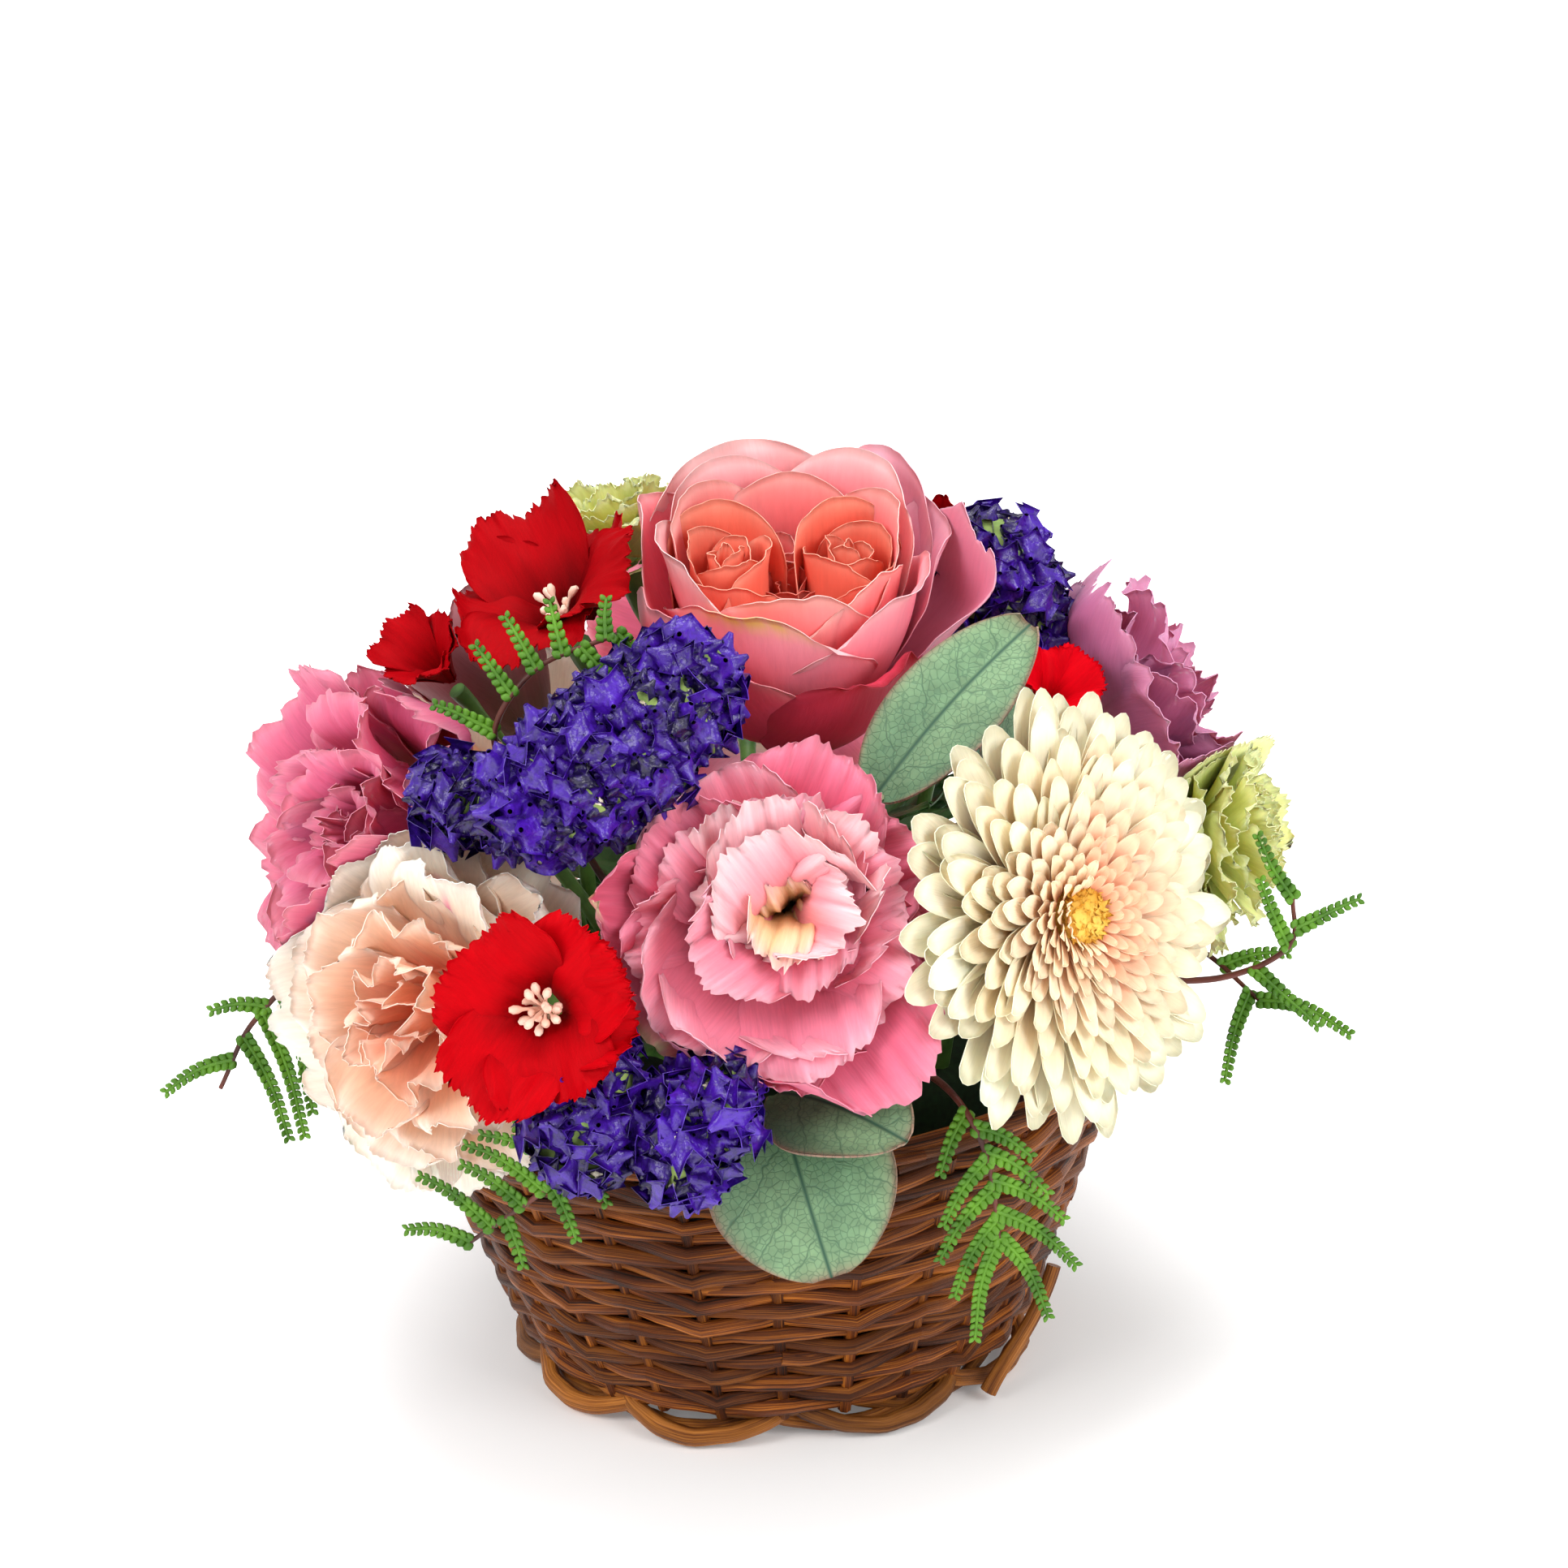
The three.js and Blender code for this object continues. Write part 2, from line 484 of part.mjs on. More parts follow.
// A closed ring-shaped skin through loops of points, the last loop joined to the first.
function ring(loops) {
  const around = loops[0].length;
  const triangles = [];
  loops.forEach((_, i) => {
    const next = (i + 1) % loops.length;
    for (let j = 0; j < around; j++) {
      const a = i * around + j;
      const b = i * around + ((j + 1) % around);
      const c = next * around + ((j + 1) % around);
      const d = next * around + j;
      triangles.push([a, b, c], [a, c, d]);
    }
  });
  return shell(loops.flat(), triangles);
}

// The wall: every weaver is straight between stakes, and passes in front of one stake and
// behind the next, the other way round in the row above.
function wall() {
  const around = 2 * STAKES;
  const pitch = (wallTop - wallBottom) / ROWS;
  const groove = 0.9;
  const loop = (z, offset) => Array.from({ length: around }, (_, j) => (
    spin(outerRadius(z) + offset(j), (2 * Math.PI * j) / around, z)
  ));
  const swing = (j, row) => (j % 2 ? 0 : WAVE * ((j / 2 + row) % 2 ? -1 : 1));
  const loops = [];
  for (let row = 0; row < ROWS; row++) {
    const z = wallBottom + pitch * row;
    loops.push(loop(z, () => -groove));
    loops.push(loop(z + pitch / 2, (j) => swing(j, row)));
  }
  loops.push(loop(wallTop, () => -groove));
  loops.push(loop(wallTop, () => -WALL_THICKNESS));
  loops.push(loop(wallBottom, () => -WALL_THICKNESS));
  return ring(loops);
}

// The rim border: rods laid over one another all round, as a rope of strands that lies on
// the top of the wall.
function rim() {
  const around = 3 * STAKES;
  const section = 5;
  const half = RIM_HEIGHT / 2;
  const middle = RIM_RADIUS - half;
  const loops = Array.from({ length: section }, (_, i) => Array.from({ length: around }, (_, j) => {
    const angle = (2 * Math.PI * j) / around;
    const turn = (2 * Math.PI * (i + 0.25)) / section;
    const under = Math.sin(turn) < -0.5;
    const r = half * (under ? 1 : 0.86 + 0.14 * Math.cos(3 * turn - STAKES * angle));
    const rise = under ? -half : r * Math.sin(turn);
    return spin(middle + r * Math.cos(turn), angle, BASKET_HEIGHT - half + rise);
  }));
  return ring(loops);
}

// The foot border: stake ends bent down and along, standing flat on the table.
function foot() {
  const around = 2 * STAKES;
  const loop = (inset, z, lift) => Array.from({ length: around }, (_, j) => (
    spin(FOOT_RADIUS - inset - (j % 2 ? 1 : 0), (2 * Math.PI * j) / around, z + (j % 2 ? lift : 0))
  ));
  return ring([
    loop(2, 0, 0), loop(0, 1.6, 0), loop(0.4, 4.6, -0.6), loop(1.8, FOOT_HEIGHT, 0),
    loop(5.6, FOOT_HEIGHT, 0), loop(5.6, 0, 0),
  ]);
}

// The woven base: a disc of rods in rings, inside the wall's lowest row.
function base() {
  const z = wallBottom;
  const edge = innerRadius(z) * Math.cos(Math.PI / (2 * STAKES)) - SEAT;
  const profile = [[0, z], [edge, z], [edge, z + ROD], [30, z + ROD - 0.6], [18, z + ROD],
    [0, z + ROD - 0.4]];
  return new THREE.LatheGeometry(profile.map(([r, h]) => new THREE.Vector2(r, h)), 12)
    .rotateX(Math.PI / 2);
}

const linerFloor = wallBottom + ROD + 0.2 + SEAT;
const linerTop = wallTop - 2;
const linerRadius = (z) => innerRadius(z) * Math.cos(Math.PI / (2 * STAKES)) - SEAT;

function liner() {
  const t = LINER_THICKNESS;
  const profile = [[0, linerFloor], [linerRadius(linerFloor), linerFloor],
    [linerRadius(linerTop), linerTop], [linerRadius(linerTop) - t, linerTop],
    [linerRadius(linerFloor) - t, linerFloor + t], [0, linerFloor + t]];
  return new THREE.LatheGeometry(profile.map(([r, h]) => new THREE.Vector2(r, h)), 12)
    .rotateX(Math.PI / 2);
}

// ---------- stems, and the foam they stand in ----------

const foamBottom = linerFloor + LINER_THICKNESS + SEAT;
const holes = [];

// The middle of a stem, from its foot in the foam to a point that it meets along a given
// direction. The foam gets a plain hole for it.
function stemPath(entry, end, along, radius, steps = 3) {
  const mouth = V(entry[0], entry[1], FOAM_TOP);
  const lean = V(end.x - mouth.x, end.y - mouth.y, 90).normalize();
  const foot0 = mouth.clone().addScaledVector(lean, -STEM_DEPTH);
  const bore = [foot0.clone().addScaledVector(lean, -SEAT), mouth.clone().addScaledVector(lean, 6)];
  holes.push(solid(sweep(bore, radius + 0.5)));
  const rise = mouth.distanceTo(end) * 0.35;
  const path = new THREE.CubicBezierCurve3(mouth, mouth.clone().addScaledVector(lean, rise),
    end.clone().addScaledVector(along, -rise), end);
  const points = [foot0, mouth];
  for (let k = 1; k <= steps; k++) points.push(path.getPoint(k / steps));
  return points;
}

// A rod with a corner ring at each point and closed ends.
function sweep(points, radius, sides = 4) {
  const tangent = (k) => points[Math.min(k + 1, points.length - 1)].clone()
    .sub(points[Math.max(k - 1, 0)]).normalize();
  let normal = V(1, 0, 0);
  const corners = [];
  points.forEach((p, k) => {
    const t = tangent(k);
    normal = normal.clone().addScaledVector(t, -normal.dot(t)).normalize();
    const other = t.clone().cross(normal);
    const r = Array.isArray(radius) ? radius[k] : radius;
    for (let i = 0; i < sides; i++) {
      const angle = (2 * Math.PI * i) / sides;
      corners.push(p.clone().addScaledVector(normal, r * Math.cos(angle))
        .addScaledVector(other, r * Math.sin(angle)));
    }
  });
  const triangles = [];
  for (let k = 0; k + 1 < points.length; k++) {
    for (let i = 0; i < sides; i++) {
      const a = k * sides + i;
      const b = k * sides + ((i + 1) % sides);
      triangles.push([a, b, b + sides], [a, b + sides, a + sides]);
    }
  }
  const end = (points.length - 1) * sides;
  for (let i = 1; i + 1 < sides; i++) {
    triangles.push([0, i + 1, i], [end, end + i, end + i + 1]);
  }
  return shell(corners, triangles);
}

// A turned body about a bloom's axis, from [radius, height] pairs that start and end on it.
function turned(bloom, profile, sides) {
  const points = profile.map(([r, h]) => new THREE.Vector2(r * bloom.size, h * bloom.size));
  const { a, top, left } = bloom.frame;
  const geometry = new THREE.LatheGeometry(points, sides).rotateX(Math.PI / 2);
  const turn = new THREE.Matrix4().makeBasis(top, left, a).setPosition(bloom.base);
  return geometry.applyMatrix4(turn);
}

// The heart of a bloom: a turned body with a band for the roots of each whorl.
function heart(bloom) {
  const roots = bloom.kind.whorls.map((whorl) => {
    const w = { ...PETAL, ...whorl };
    const [out, up] = rib(w, w.from);
    return [out + Math.hypot(...w.off) + 1.2, up];
  }).sort((one, other) => one[1] - other[1]);
  const levels = roots.filter(([, up], i) => i === 0 || up - roots[i - 1][1] > 0.3);
  const profile = [[0, 0], [bloom.kind.calyx[0], 0], [levels[0][0], levels[0][1] * 0.7]];
  levels.slice(1).forEach(([out, up], i) => {
    profile.push([Math.max(out, levels[i][0]), (up + levels[i][1]) / 2]);
  });
  const [out, up] = levels.at(-1);
  profile.push([out, up + 1.6], [0, up + 3.2]);
  return turned(bloom, profile, bloom.kind.sides);
}

function flower(bloom, color) {
  const pieces = [solid(heart(bloom))];
  for (const whorl of bloom.kind.whorls) {
    for (let k = 0; k < whorl.count; k++) pieces.push(solid(blade(petal(bloom, whorl, k))));
  }
  place(bloom.name, mainBody(join(pieces)), color);
}

// The green of a bloom: its stem, the calyx that carries the petals, and the sepals.
function green(bloom) {
  const { calyx: [wide, deep], stem: thick, sepals } = bloom.kind;
  const at = (h) => bloom.base.clone().addScaledVector(bloom.frame.a, h * bloom.size);
  const top = -SEAT / bloom.size;
  const points = stemPath(bloom.entry, at(top - deep), bloom.frame.a, thick * bloom.size, 2);
  const radii = points.map(() => thick * bloom.size);
  points.push(at(top - deep * 0.6), at(top));
  radii.push(wide * bloom.size, wide * bloom.size);
  const pieces = [solid(sweep(points, radii))];
  if (sepals) {
    for (let k = 0; k < sepals.count; k++) pieces.push(solid(blade(petal(bloom, sepals, k))));
  }
  place(`${bloom.name}_stem`, mainBody(join(pieces)), LEAF_GREEN);
}

// A statice floret: a four-sided funnel that stands out of the head, its mouth held in.
function floret(apex, axis, length, radius, room) {
  const { top, left } = frame(axis.toArray());
  const points = [apex, apex.clone().addScaledVector(axis, length * 0.7)];
  for (let i = 0; i < 4; i++) {
    const angle = (Math.PI * i) / 2 + apex.x;
    points.push(inCell(apex.clone().addScaledVector(axis, length)
      .addScaledVector(top, radius * Math.cos(angle))
      .addScaledVector(left, radius * Math.sin(angle)), room));
  }
  const triangles = [];
  for (let i = 0; i < 4; i++) {
    const [a, b] = [2 + i, 2 + ((i + 1) % 4)];
    triangles.push([0, a, b], [1, b, a]);
  }
  return shell(points, triangles);
}

// A head of statice: a core through its lumps, florets standing out of it on every side, and
// the neck that carries it. A turn of the golden angle from one floret to the next keeps
// them apart.
function staticeHead({ name, lumps, joint, neck, florets }) {
  const centres = lumps.map((lump) => lump.heart);
  const ends = lumps.length > 1 ? [centres[0].clone().lerp(centres[1], -0.6),
    centres.at(-1).clone().lerp(centres.at(-2), -0.6)]
    : [-1, 1].map((hand) => centres[0].clone().lerp(neck, -hand * 0.3));
  const core = sweep([ends[0], ...centres, ends[1]],
    [2, ...lumps.map((lump) => lump.radius * 0.6), 2], 5);
  const pieces = [solid(core), solid(sweep([centres[joint], neck], [3.4, 1.6]))];
  const golden = Math.PI * (3 - Math.sqrt(5));
  let made = 0;
  for (let i = 0; made < florets; i++) {
    const lump = lumps[i % lumps.length];
    const rise = 0.93 - (1.86 * ((7 * i) % 19)) / 18;
    const flat = Math.sqrt(1 - rise * rise);
    const axis = V(flat * Math.cos(golden * i), flat * Math.sin(golden * i), rise);
    const mouth = lump.heart.clone().addScaledVector(axis, lump.radius);
    const covered = lumps.some((other) => (
      other !== lump && mouth.distanceTo(other.heart) < other.radius));
    const atNeck = axis.dot(neck.clone().sub(lump.heart).normalize()) > 0.75;
    if (covered || atNeck) continue;
    const apex = lump.heart.clone().addScaledVector(axis, lump.radius * 0.3);
    pieces.push(solid(floret(apex, axis, lump.radius * 0.74, lump.radius * 0.35, lump)));
    made++;
  }
  place(name, mainBody(join(pieces)), VIOLET, 0.8);
}

// A statice stem, winged and branched where it carries two heads.
function staticeStem([name, heads, entry]) {
  const pieces = heads.map((headName) => {
    const head = STATICE.find((one) => one.name === headName);
    const along = head.lumps[head.joint].heart.clone().sub(head.neck).normalize();
    const end = head.neck.clone().addScaledVector(along, -0.75);
    return solid(sweep(stemPath(entry, end, along, 1.3, 2), 1.3));
  });
  place(name, mainBody(join(pieces)), LEAF_GREEN);
}

// A round eucalyptus leaf, arched along its length and folded a little at the midrib.
function leaf([from, to, face, half]) {
  const start = V(...from);
  const along = V(...to).sub(start);
  const side = along.clone().cross(V(...face)).normalize();
  const normal = side.clone().cross(along).normalize();
  const rows = [[-1, 1].map((v) => start.clone().addScaledVector(side, v * 0.7))];
  for (const u of [0.3, 0.75, 1]) {
    const width = half * Math.sqrt(Math.sin(Math.PI * (0.06 + 0.86 * u)));
    rows.push([-1, 0, 1].map((v) => start.clone().addScaledVector(along, u)
      .addScaledVector(side, v * width)
      .addScaledVector(normal, 3 * Math.sin(Math.PI * u) + (v ? 1.2 : 0))));
  }
  return blade(rows, SHEET + 0.1);
}

function sprig([name, entry, end, leaves]) {
  const tip = V(...end);
  const along = tip.clone().sub(V(entry[0], entry[1], FOAM_TOP)).normalize();
  const pieces = leaves.map((one) => solid(leaf(one)));
  pieces.push(solid(sweep(stemPath(entry, tip, along, 1.1, 2), 1.1)));
  place(name, mainBody(join(pieces)), 0x75a088, 0.6);
}

// A coral fern leaflet: a narrow blade with beaded edges, drooping towards its end.
function leaflet(root, direction, face, length) {
  const side = direction.clone().cross(face).normalize();
  const beads = 3;
  const rows = [];
  for (let i = 0; i <= beads; i++) {
    const t = i / beads;
    const half = i === 0 ? 0.7 : (i % 2 ? 1.7 : 0.9) * (1 - 0.35 * t);
    const middle = root.clone().addScaledVector(direction, length * t)
      .addScaledVector(UP, -length * 0.16 * t * t);
    rows.push([middle.clone().addScaledVector(side, -half), middle.addScaledVector(side, half)]);
  }
  return blade(rows, SHEET + 0.2);
}

// A coral fern frond: its rib is one rod, from the foam to the tip, with leaflets off it.
function frond([name, entry, path, look, leaflets]) {
  const face = V(...look).normalize();
  const curve = new THREE.CatmullRomCurve3([V(entry[0], entry[1], FOAM_TOP + 6),
    ...path.map((p) => V(...p))]);
  const steps = 7;
  const points = Array.from({ length: steps }, (_, i) => curve.getPoint((i + 1) / steps));
  const inFoam = stemPath(entry, points[0], curve.getTangent(1 / steps), 0.8, 1);
  const pieces = [solid(sweep([...inFoam, ...points.slice(1)], 0.8, 3))];
  for (const [t, side, length, angle] of leaflets) {
    const tangent = curve.getTangent(t);
    const over = tangent.clone().cross(face).normalize().multiplyScalar(side);
    const direction = tangent.multiplyScalar(Math.cos(rad(angle)))
      .addScaledVector(over, Math.sin(rad(angle)));
    pieces.push(solid(leaflet(curve.getPoint(t), direction, face, length)));
  }
  place(name, mainBody(join(pieces)), 0x4a8a28);
}

// ---------- build ----------

place('basket_wall', wall(), WILLOW, 0.6);
place('basket_rim', rim(), WILLOW, 0.6);
place('basket_foot', foot(), 0x8a5528, 0.6);
place('basket_base', base(), WILLOW, 0.6);
place('liner', liner(), 0x14100e, 0.5);

for (const bloom of BLOOMS) bloom.owner = bloom.name;
for (const head of STATICE) {
  for (const lump of head.lumps) lump.owner = head.name;
}
shareRoom([...BLOOMS, ...STATICE.flatMap((head) => head.lumps)]);
const PETAL_COLORS = {
  rose: 0xf0808a, lisianthus_front: 0xe8809a, gerbera: 0xfbf0cc, carnation_peach: 0xf8dcc4,
  dianthus_front: 0xe0001a, dianthus_left: 0xc00010, dianthus_left_small: 0xc00010,
  lisianthus_left: 0xd87090,
  lisianthus_bud: 0x8a5050, lisianthus_right: 0xb86888, green_right: 0xd0d080,
  green_back: 0xd0d080, dianthus_right: 0xd80018, dianthus_back: 0xc00010,
  lisianthus_back: 0xe8809a, carnation_back: 0xf8dcc4,
};
for (const bloom of BLOOMS) {
  flower(bloom, PETAL_COLORS[bloom.name]);
  green(bloom);
}

STATICE.forEach(staticeHead);
STATICE_STEMS.forEach(staticeStem);
EUCALYPTUS.forEach(sprig);
FERNS.forEach(frond);

const foam = solid(new THREE.LatheGeometry([[0, foamBottom],
  [linerRadius(foamBottom) - 3.5, foamBottom], [FOAM_RADIUS, 30], [FOAM_RADIUS, FOAM_TOP - 4],
  [FOAM_RADIUS - 4, FOAM_TOP], [0, FOAM_TOP]].map(([r, h]) => new THREE.Vector2(r, h)), 12)
  .rotateX(Math.PI / 2));
place('foam', mainBody(foam.subtract(join(holes))), 0x2e5a34, 0.9);

export default basket;
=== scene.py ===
"""A small round flower basket: a woven willow basket with a liner and a block of wet foam in
it, and cut flowers, statice, eucalyptus and coral fern standing in the foam. Sizes are in
millimetres until a mesh is made, which is in metres. The front faces -Y."""
import math

import bpy
import numpy as np
from mathutils import Matrix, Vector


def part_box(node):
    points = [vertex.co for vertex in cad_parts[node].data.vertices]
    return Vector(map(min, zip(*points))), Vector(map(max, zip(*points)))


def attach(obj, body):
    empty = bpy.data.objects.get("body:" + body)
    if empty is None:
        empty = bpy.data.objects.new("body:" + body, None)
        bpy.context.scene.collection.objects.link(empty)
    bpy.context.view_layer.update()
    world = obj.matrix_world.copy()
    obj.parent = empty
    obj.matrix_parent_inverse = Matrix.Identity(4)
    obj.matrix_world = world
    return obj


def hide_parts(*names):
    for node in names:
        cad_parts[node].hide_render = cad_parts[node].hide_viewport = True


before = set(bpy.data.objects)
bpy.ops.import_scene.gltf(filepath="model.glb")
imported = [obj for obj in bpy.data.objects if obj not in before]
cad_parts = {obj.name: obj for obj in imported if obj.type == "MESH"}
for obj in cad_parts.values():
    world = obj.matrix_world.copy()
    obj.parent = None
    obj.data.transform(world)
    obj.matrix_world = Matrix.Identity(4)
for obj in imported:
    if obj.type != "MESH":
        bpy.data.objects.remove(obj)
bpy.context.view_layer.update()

# ---------- table, light and camera ----------
# A white table under soft daylight from all round, with three large soft lamps: at the front
# left, at the front right and above. The table also glows, as painted light. The camera stands
# a little above the flowers, tilted a few degrees.

MM = 0.001
CAMERA_PLACE = (0.0, -600.0, 326.0)
CAMERA_YAW, CAMERA_PITCH, CAMERA_ROLL = (math.radians(a) for a in (0.58, 20.06, -2.88))
CAMERA_LENS = 82.5


def linear(color):
    """A hex sRGB colour as linear red, green and blue."""
    parts = np.array([int(color[i:i + 2], 16) / 255 for i in (1, 3, 5)])
    return np.where(parts <= 0.04045, parts / 12.92, ((parts + 0.055) / 1.055) ** 2.4)


def node(tree, kind, inputs=None, **settings):
    """Adds a node to a tree: its settings, and its inputs as values or as other nodes' outputs."""
    made = tree.nodes.new(kind)
    for key, value in settings.items():
        setattr(made, key, value)
    for key, value in (inputs or {}).items():
        if isinstance(value, bpy.types.NodeSocket):
            tree.links.new(value, made.inputs[key])
        else:
            made.inputs[key].default_value = value
    return made


def finish(name, roughness, **sockets):
    """A new material: its tree, its shader, and the material itself."""
    material = bpy.data.materials.new(name)
    material.use_nodes = True
    tree = material.node_tree
    shader = tree.nodes["Principled BSDF"]
    shader.inputs["Roughness"].default_value = roughness
    for key, value in sockets.items():
        shader.inputs[key.replace("_", " ")].default_value = value
    return material, tree, shader


yaw, pitch, roll = CAMERA_YAW, CAMERA_PITCH, CAMERA_ROLL
ahead = np.array([math.sin(yaw) * math.cos(pitch), math.cos(yaw) * math.cos(pitch), -math.sin(pitch)])
level = np.array([math.cos(yaw), -math.sin(yaw), 0.0])
above = np.cross(level, ahead)
right = math.cos(roll) * level + math.sin(roll) * above
up = math.cos(roll) * above - math.sin(roll) * level
camera = bpy.data.objects.new("camera", bpy.data.cameras.new("camera"))
camera.data.lens = CAMERA_LENS
camera.data.clip_end = 20
camera.matrix_world = Matrix([[right[i], up[i], -ahead[i], CAMERA_PLACE[i] * MM] for i in range(3)]
                             + [[0, 0, 0, 1]])
bpy.context.collection.objects.link(camera)
bpy.context.scene.camera = camera
bpy.context.scene.view_settings.view_transform = "Standard"

TABLE_HALF = 3.0
CARD_GREY = 0.86
DAYLIGHT, DAYLIGHT_SEEN = 0.62, 1.0
LAMPS_AIM = (0, 0, 0.09)
table_mesh = bpy.data.meshes.new("table_top")
table_mesh.from_pydata([(x * TABLE_HALF, y * TABLE_HALF, 0) for x, y in
                        ((-1, -1), (1, -1), (1, 1), (-1, 1))], [], [(0, 1, 2, 3)])
table_top = bpy.data.objects.new("table_top", table_mesh)
bpy.context.collection.objects.link(table_top)
glowing_card, card_tree, card_shader = finish(
    "glowing_card", 0.9, Base_Color=(CARD_GREY, CARD_GREY, CARD_GREY, 1), Specular_IOR_Level=0,
    Emission_Color=(1, 1, 1, 1))
# The card glows, faintly by the basket and more further out: painted light that keeps the table white all
# round while the shadow under the basket still shows.
from_middle = node(card_tree, "ShaderNodeVectorMath",
                   {0: node(card_tree, "ShaderNodeTexCoord").outputs["Object"]}, operation="LENGTH")
glow = node(card_tree, "ShaderNodeMapRange", {"Value": from_middle.outputs["Value"], "From Min": 0.05,
                                              "From Max": 0.22, "To Min": 0.14, "To Max": 0.6})
card_tree.links.new(glow.outputs[0], card_shader.inputs["Emission Strength"])
table_mesh.materials.append(glowing_card)

world = bpy.data.worlds.new("daylight")
bpy.context.scene.world = world
world.use_nodes = True
world.node_tree.nodes["Background"].inputs["Color"].default_value = (1, 1, 1, 1)
seen = node(world.node_tree, "ShaderNodeLightPath").outputs["Is Camera Ray"]
daylight = node(world.node_tree, "ShaderNodeMapRange", {"Value": seen, "To Min": DAYLIGHT,
                                                        "To Max": DAYLIGHT_SEEN})
world.node_tree.links.new(daylight.outputs[0],
                          world.node_tree.nodes["Background"].inputs["Strength"])

for lamp_name, place, size, power in (
        ("left_box", (-0.8, -0.75, 0.95), 0.6, 9.2),
        ("right_box", (0.85, -0.8, 0.7), 0.6, 8.6),
        ("top_box", (0.0, 0.1, 1.3), 0.7, 10.0)):
    lamp = bpy.data.objects.new(lamp_name, bpy.data.lights.new(lamp_name, "AREA"))
    lamp.data.size = size
    lamp.data.energy = power
    aim = np.array(LAMPS_AIM) - np.array(place)
    side = np.cross(aim, [0, 0, 1])
    side /= np.linalg.norm(side)
    aim /= np.linalg.norm(aim)
    top = np.cross(side, aim)
    lamp.matrix_world = Matrix([[side[i], top[i], -aim[i], place[i]] for i in range(3)] + [[0, 0, 0, 1]])
    bpy.context.collection.objects.link(lamp)

# ---------- foot border ----------
# Ends of the stakes, bent down and along the bottom of the basket in scallops, each tucked up
# behind the next. Peeled in places, so lighter than the wall. The basket stands on them. One
# cut rod end sticks out at the right.

FOOT_RADIUS = 46.0
RIM_RADIUS = 70.0
BASKET_HEIGHT = 66.0
FOOT_HEIGHT = 6.2
RIM_HEIGHT = 6.6
STAKES = 10
FLARE = (RIM_RADIUS - FOOT_RADIUS) / BASKET_HEIGHT
rng = np.random.default_rng(7)


def wander(t, amount, waves, seed):
    """A smooth irregular swing along t, from a few sines."""
    draw = np.random.default_rng(seed)
    total = np.zeros_like(t)
    for wave in (0.6, 1.0, 1.7, 2.9):
        total += np.sin(2 * np.pi * (t * waves * wave + draw.random())) * draw.uniform(0.4, 1)
    return amount * total / 2


def ramp_ends(ramp, dark, light, low=0.0, high=1.0):
    """Sets the two ends of a colour ramp: their colours and places."""
    for stop, color, place in zip(ramp.color_ramp.elements, (dark, light), (low, high)):
        stop.position, stop.color = place, (*linear(color), 1)


def willow(name, dark, middle, light):
    """Willow bark, dried and varnished: fine lengthwise grain, darker blotches and lighter
    rubbed places, with a low satin gloss. Grain is about 0.4 mm wide."""
    material, tree, shader = finish(name, 0.42, Specular_IOR_Level=0.22)
    along = node(tree, "ShaderNodeAttribute", attribute_name="along").outputs["Fac"]
    around = node(tree, "ShaderNodeAttribute", attribute_name="around").outputs["Fac"]
    rod_id = node(tree, "ShaderNodeAttribute", attribute_name="rod").outputs["Fac"]
    turn = node(tree, "ShaderNodeMath", {0: around, 1: 2 * math.pi}, operation="MULTIPLY")
    cosine = node(tree, "ShaderNodeMath", {0: turn.outputs[0]}, operation="COSINE")
    sine = node(tree, "ShaderNodeMath", {0: turn.outputs[0]}, operation="SINE")
    run = node(tree, "ShaderNodeMath", {0: along, 1: 60.0}, operation="MULTIPLY")
    shift = node(tree, "ShaderNodeMath", {0: rod_id, 1: 37.0, 2: run.outputs[0]},
                 operation="MULTIPLY_ADD")
    place = node(tree, "ShaderNodeCombineXYZ",
                 {0: shift.outputs[0], 1: cosine.outputs[0], 2: sine.outputs[0]})
    blotch = node(tree, "ShaderNodeTexNoise", {"Vector": place.outputs[0], "Scale": 0.9, "Detail": 5.0})
    stretch = node(tree, "ShaderNodeVectorMath", {0: place.outputs[0], 1: (0.35, 4.0, 4.0)},
                   operation="MULTIPLY")
    grain = node(tree, "ShaderNodeTexNoise", {"Vector": stretch.outputs[0], "Scale": 1.6,
                                              "Detail": 4.0, "Roughness": 0.7})
    mixed = node(tree, "ShaderNodeMath", {0: grain.outputs["Fac"], 1: 0.55, 2: 0.0},
                 operation="MULTIPLY_ADD")
    tree.links.new(node(tree, "ShaderNodeMath", {0: blotch.outputs["Fac"], 1: 0.45},
                        operation="MULTIPLY").outputs[0], mixed.inputs[2])
    ramp = node(tree, "ShaderNodeValToRGB", {"Fac": mixed.outputs[0]})
    ramp_ends(ramp, dark, light, 0.4, 0.62)
    ramp.color_ramp.elements.new(0.5).color = (*linear(middle), 1)
    rub = node(tree, "ShaderNodeMath", {0: rod_id, 1: 0.85, 2: 0.55}, operation="MULTIPLY_ADD")
    shade = node(tree, "ShaderNodeVectorMath", {0: ramp.outputs["Color"], "Scale": rub.outputs[0]},
                 operation="SCALE")
    tree.links.new(shade.outputs[0], shader.inputs["Base Color"])
    bump = node(tree, "ShaderNodeBump", {"Height": grain.outputs["Fac"], "Strength": 0.55,
                                         "Distance": 0.0006})
    tree.links.new(bump.outputs["Normal"], shader.inputs["Normal"])
    return material


def shape_tree(name, *sockets):
    """A new geometry nodes tree with a shape, its own sockets and a finish, and its inputs."""
    tree = bpy.data.node_groups.new(name, "GeometryNodeTree")
    for socket, kind in (("Geometry", "Geometry"), *sockets, ("Finish", "Material")):
        tree.interface.new_socket(socket, in_out="INPUT", socket_type="NodeSocket" + kind)
    tree.interface.new_socket("Geometry", in_out="OUTPUT", socket_type="NodeSocketGeometry")
    return tree, node(tree, "NodeGroupInput")


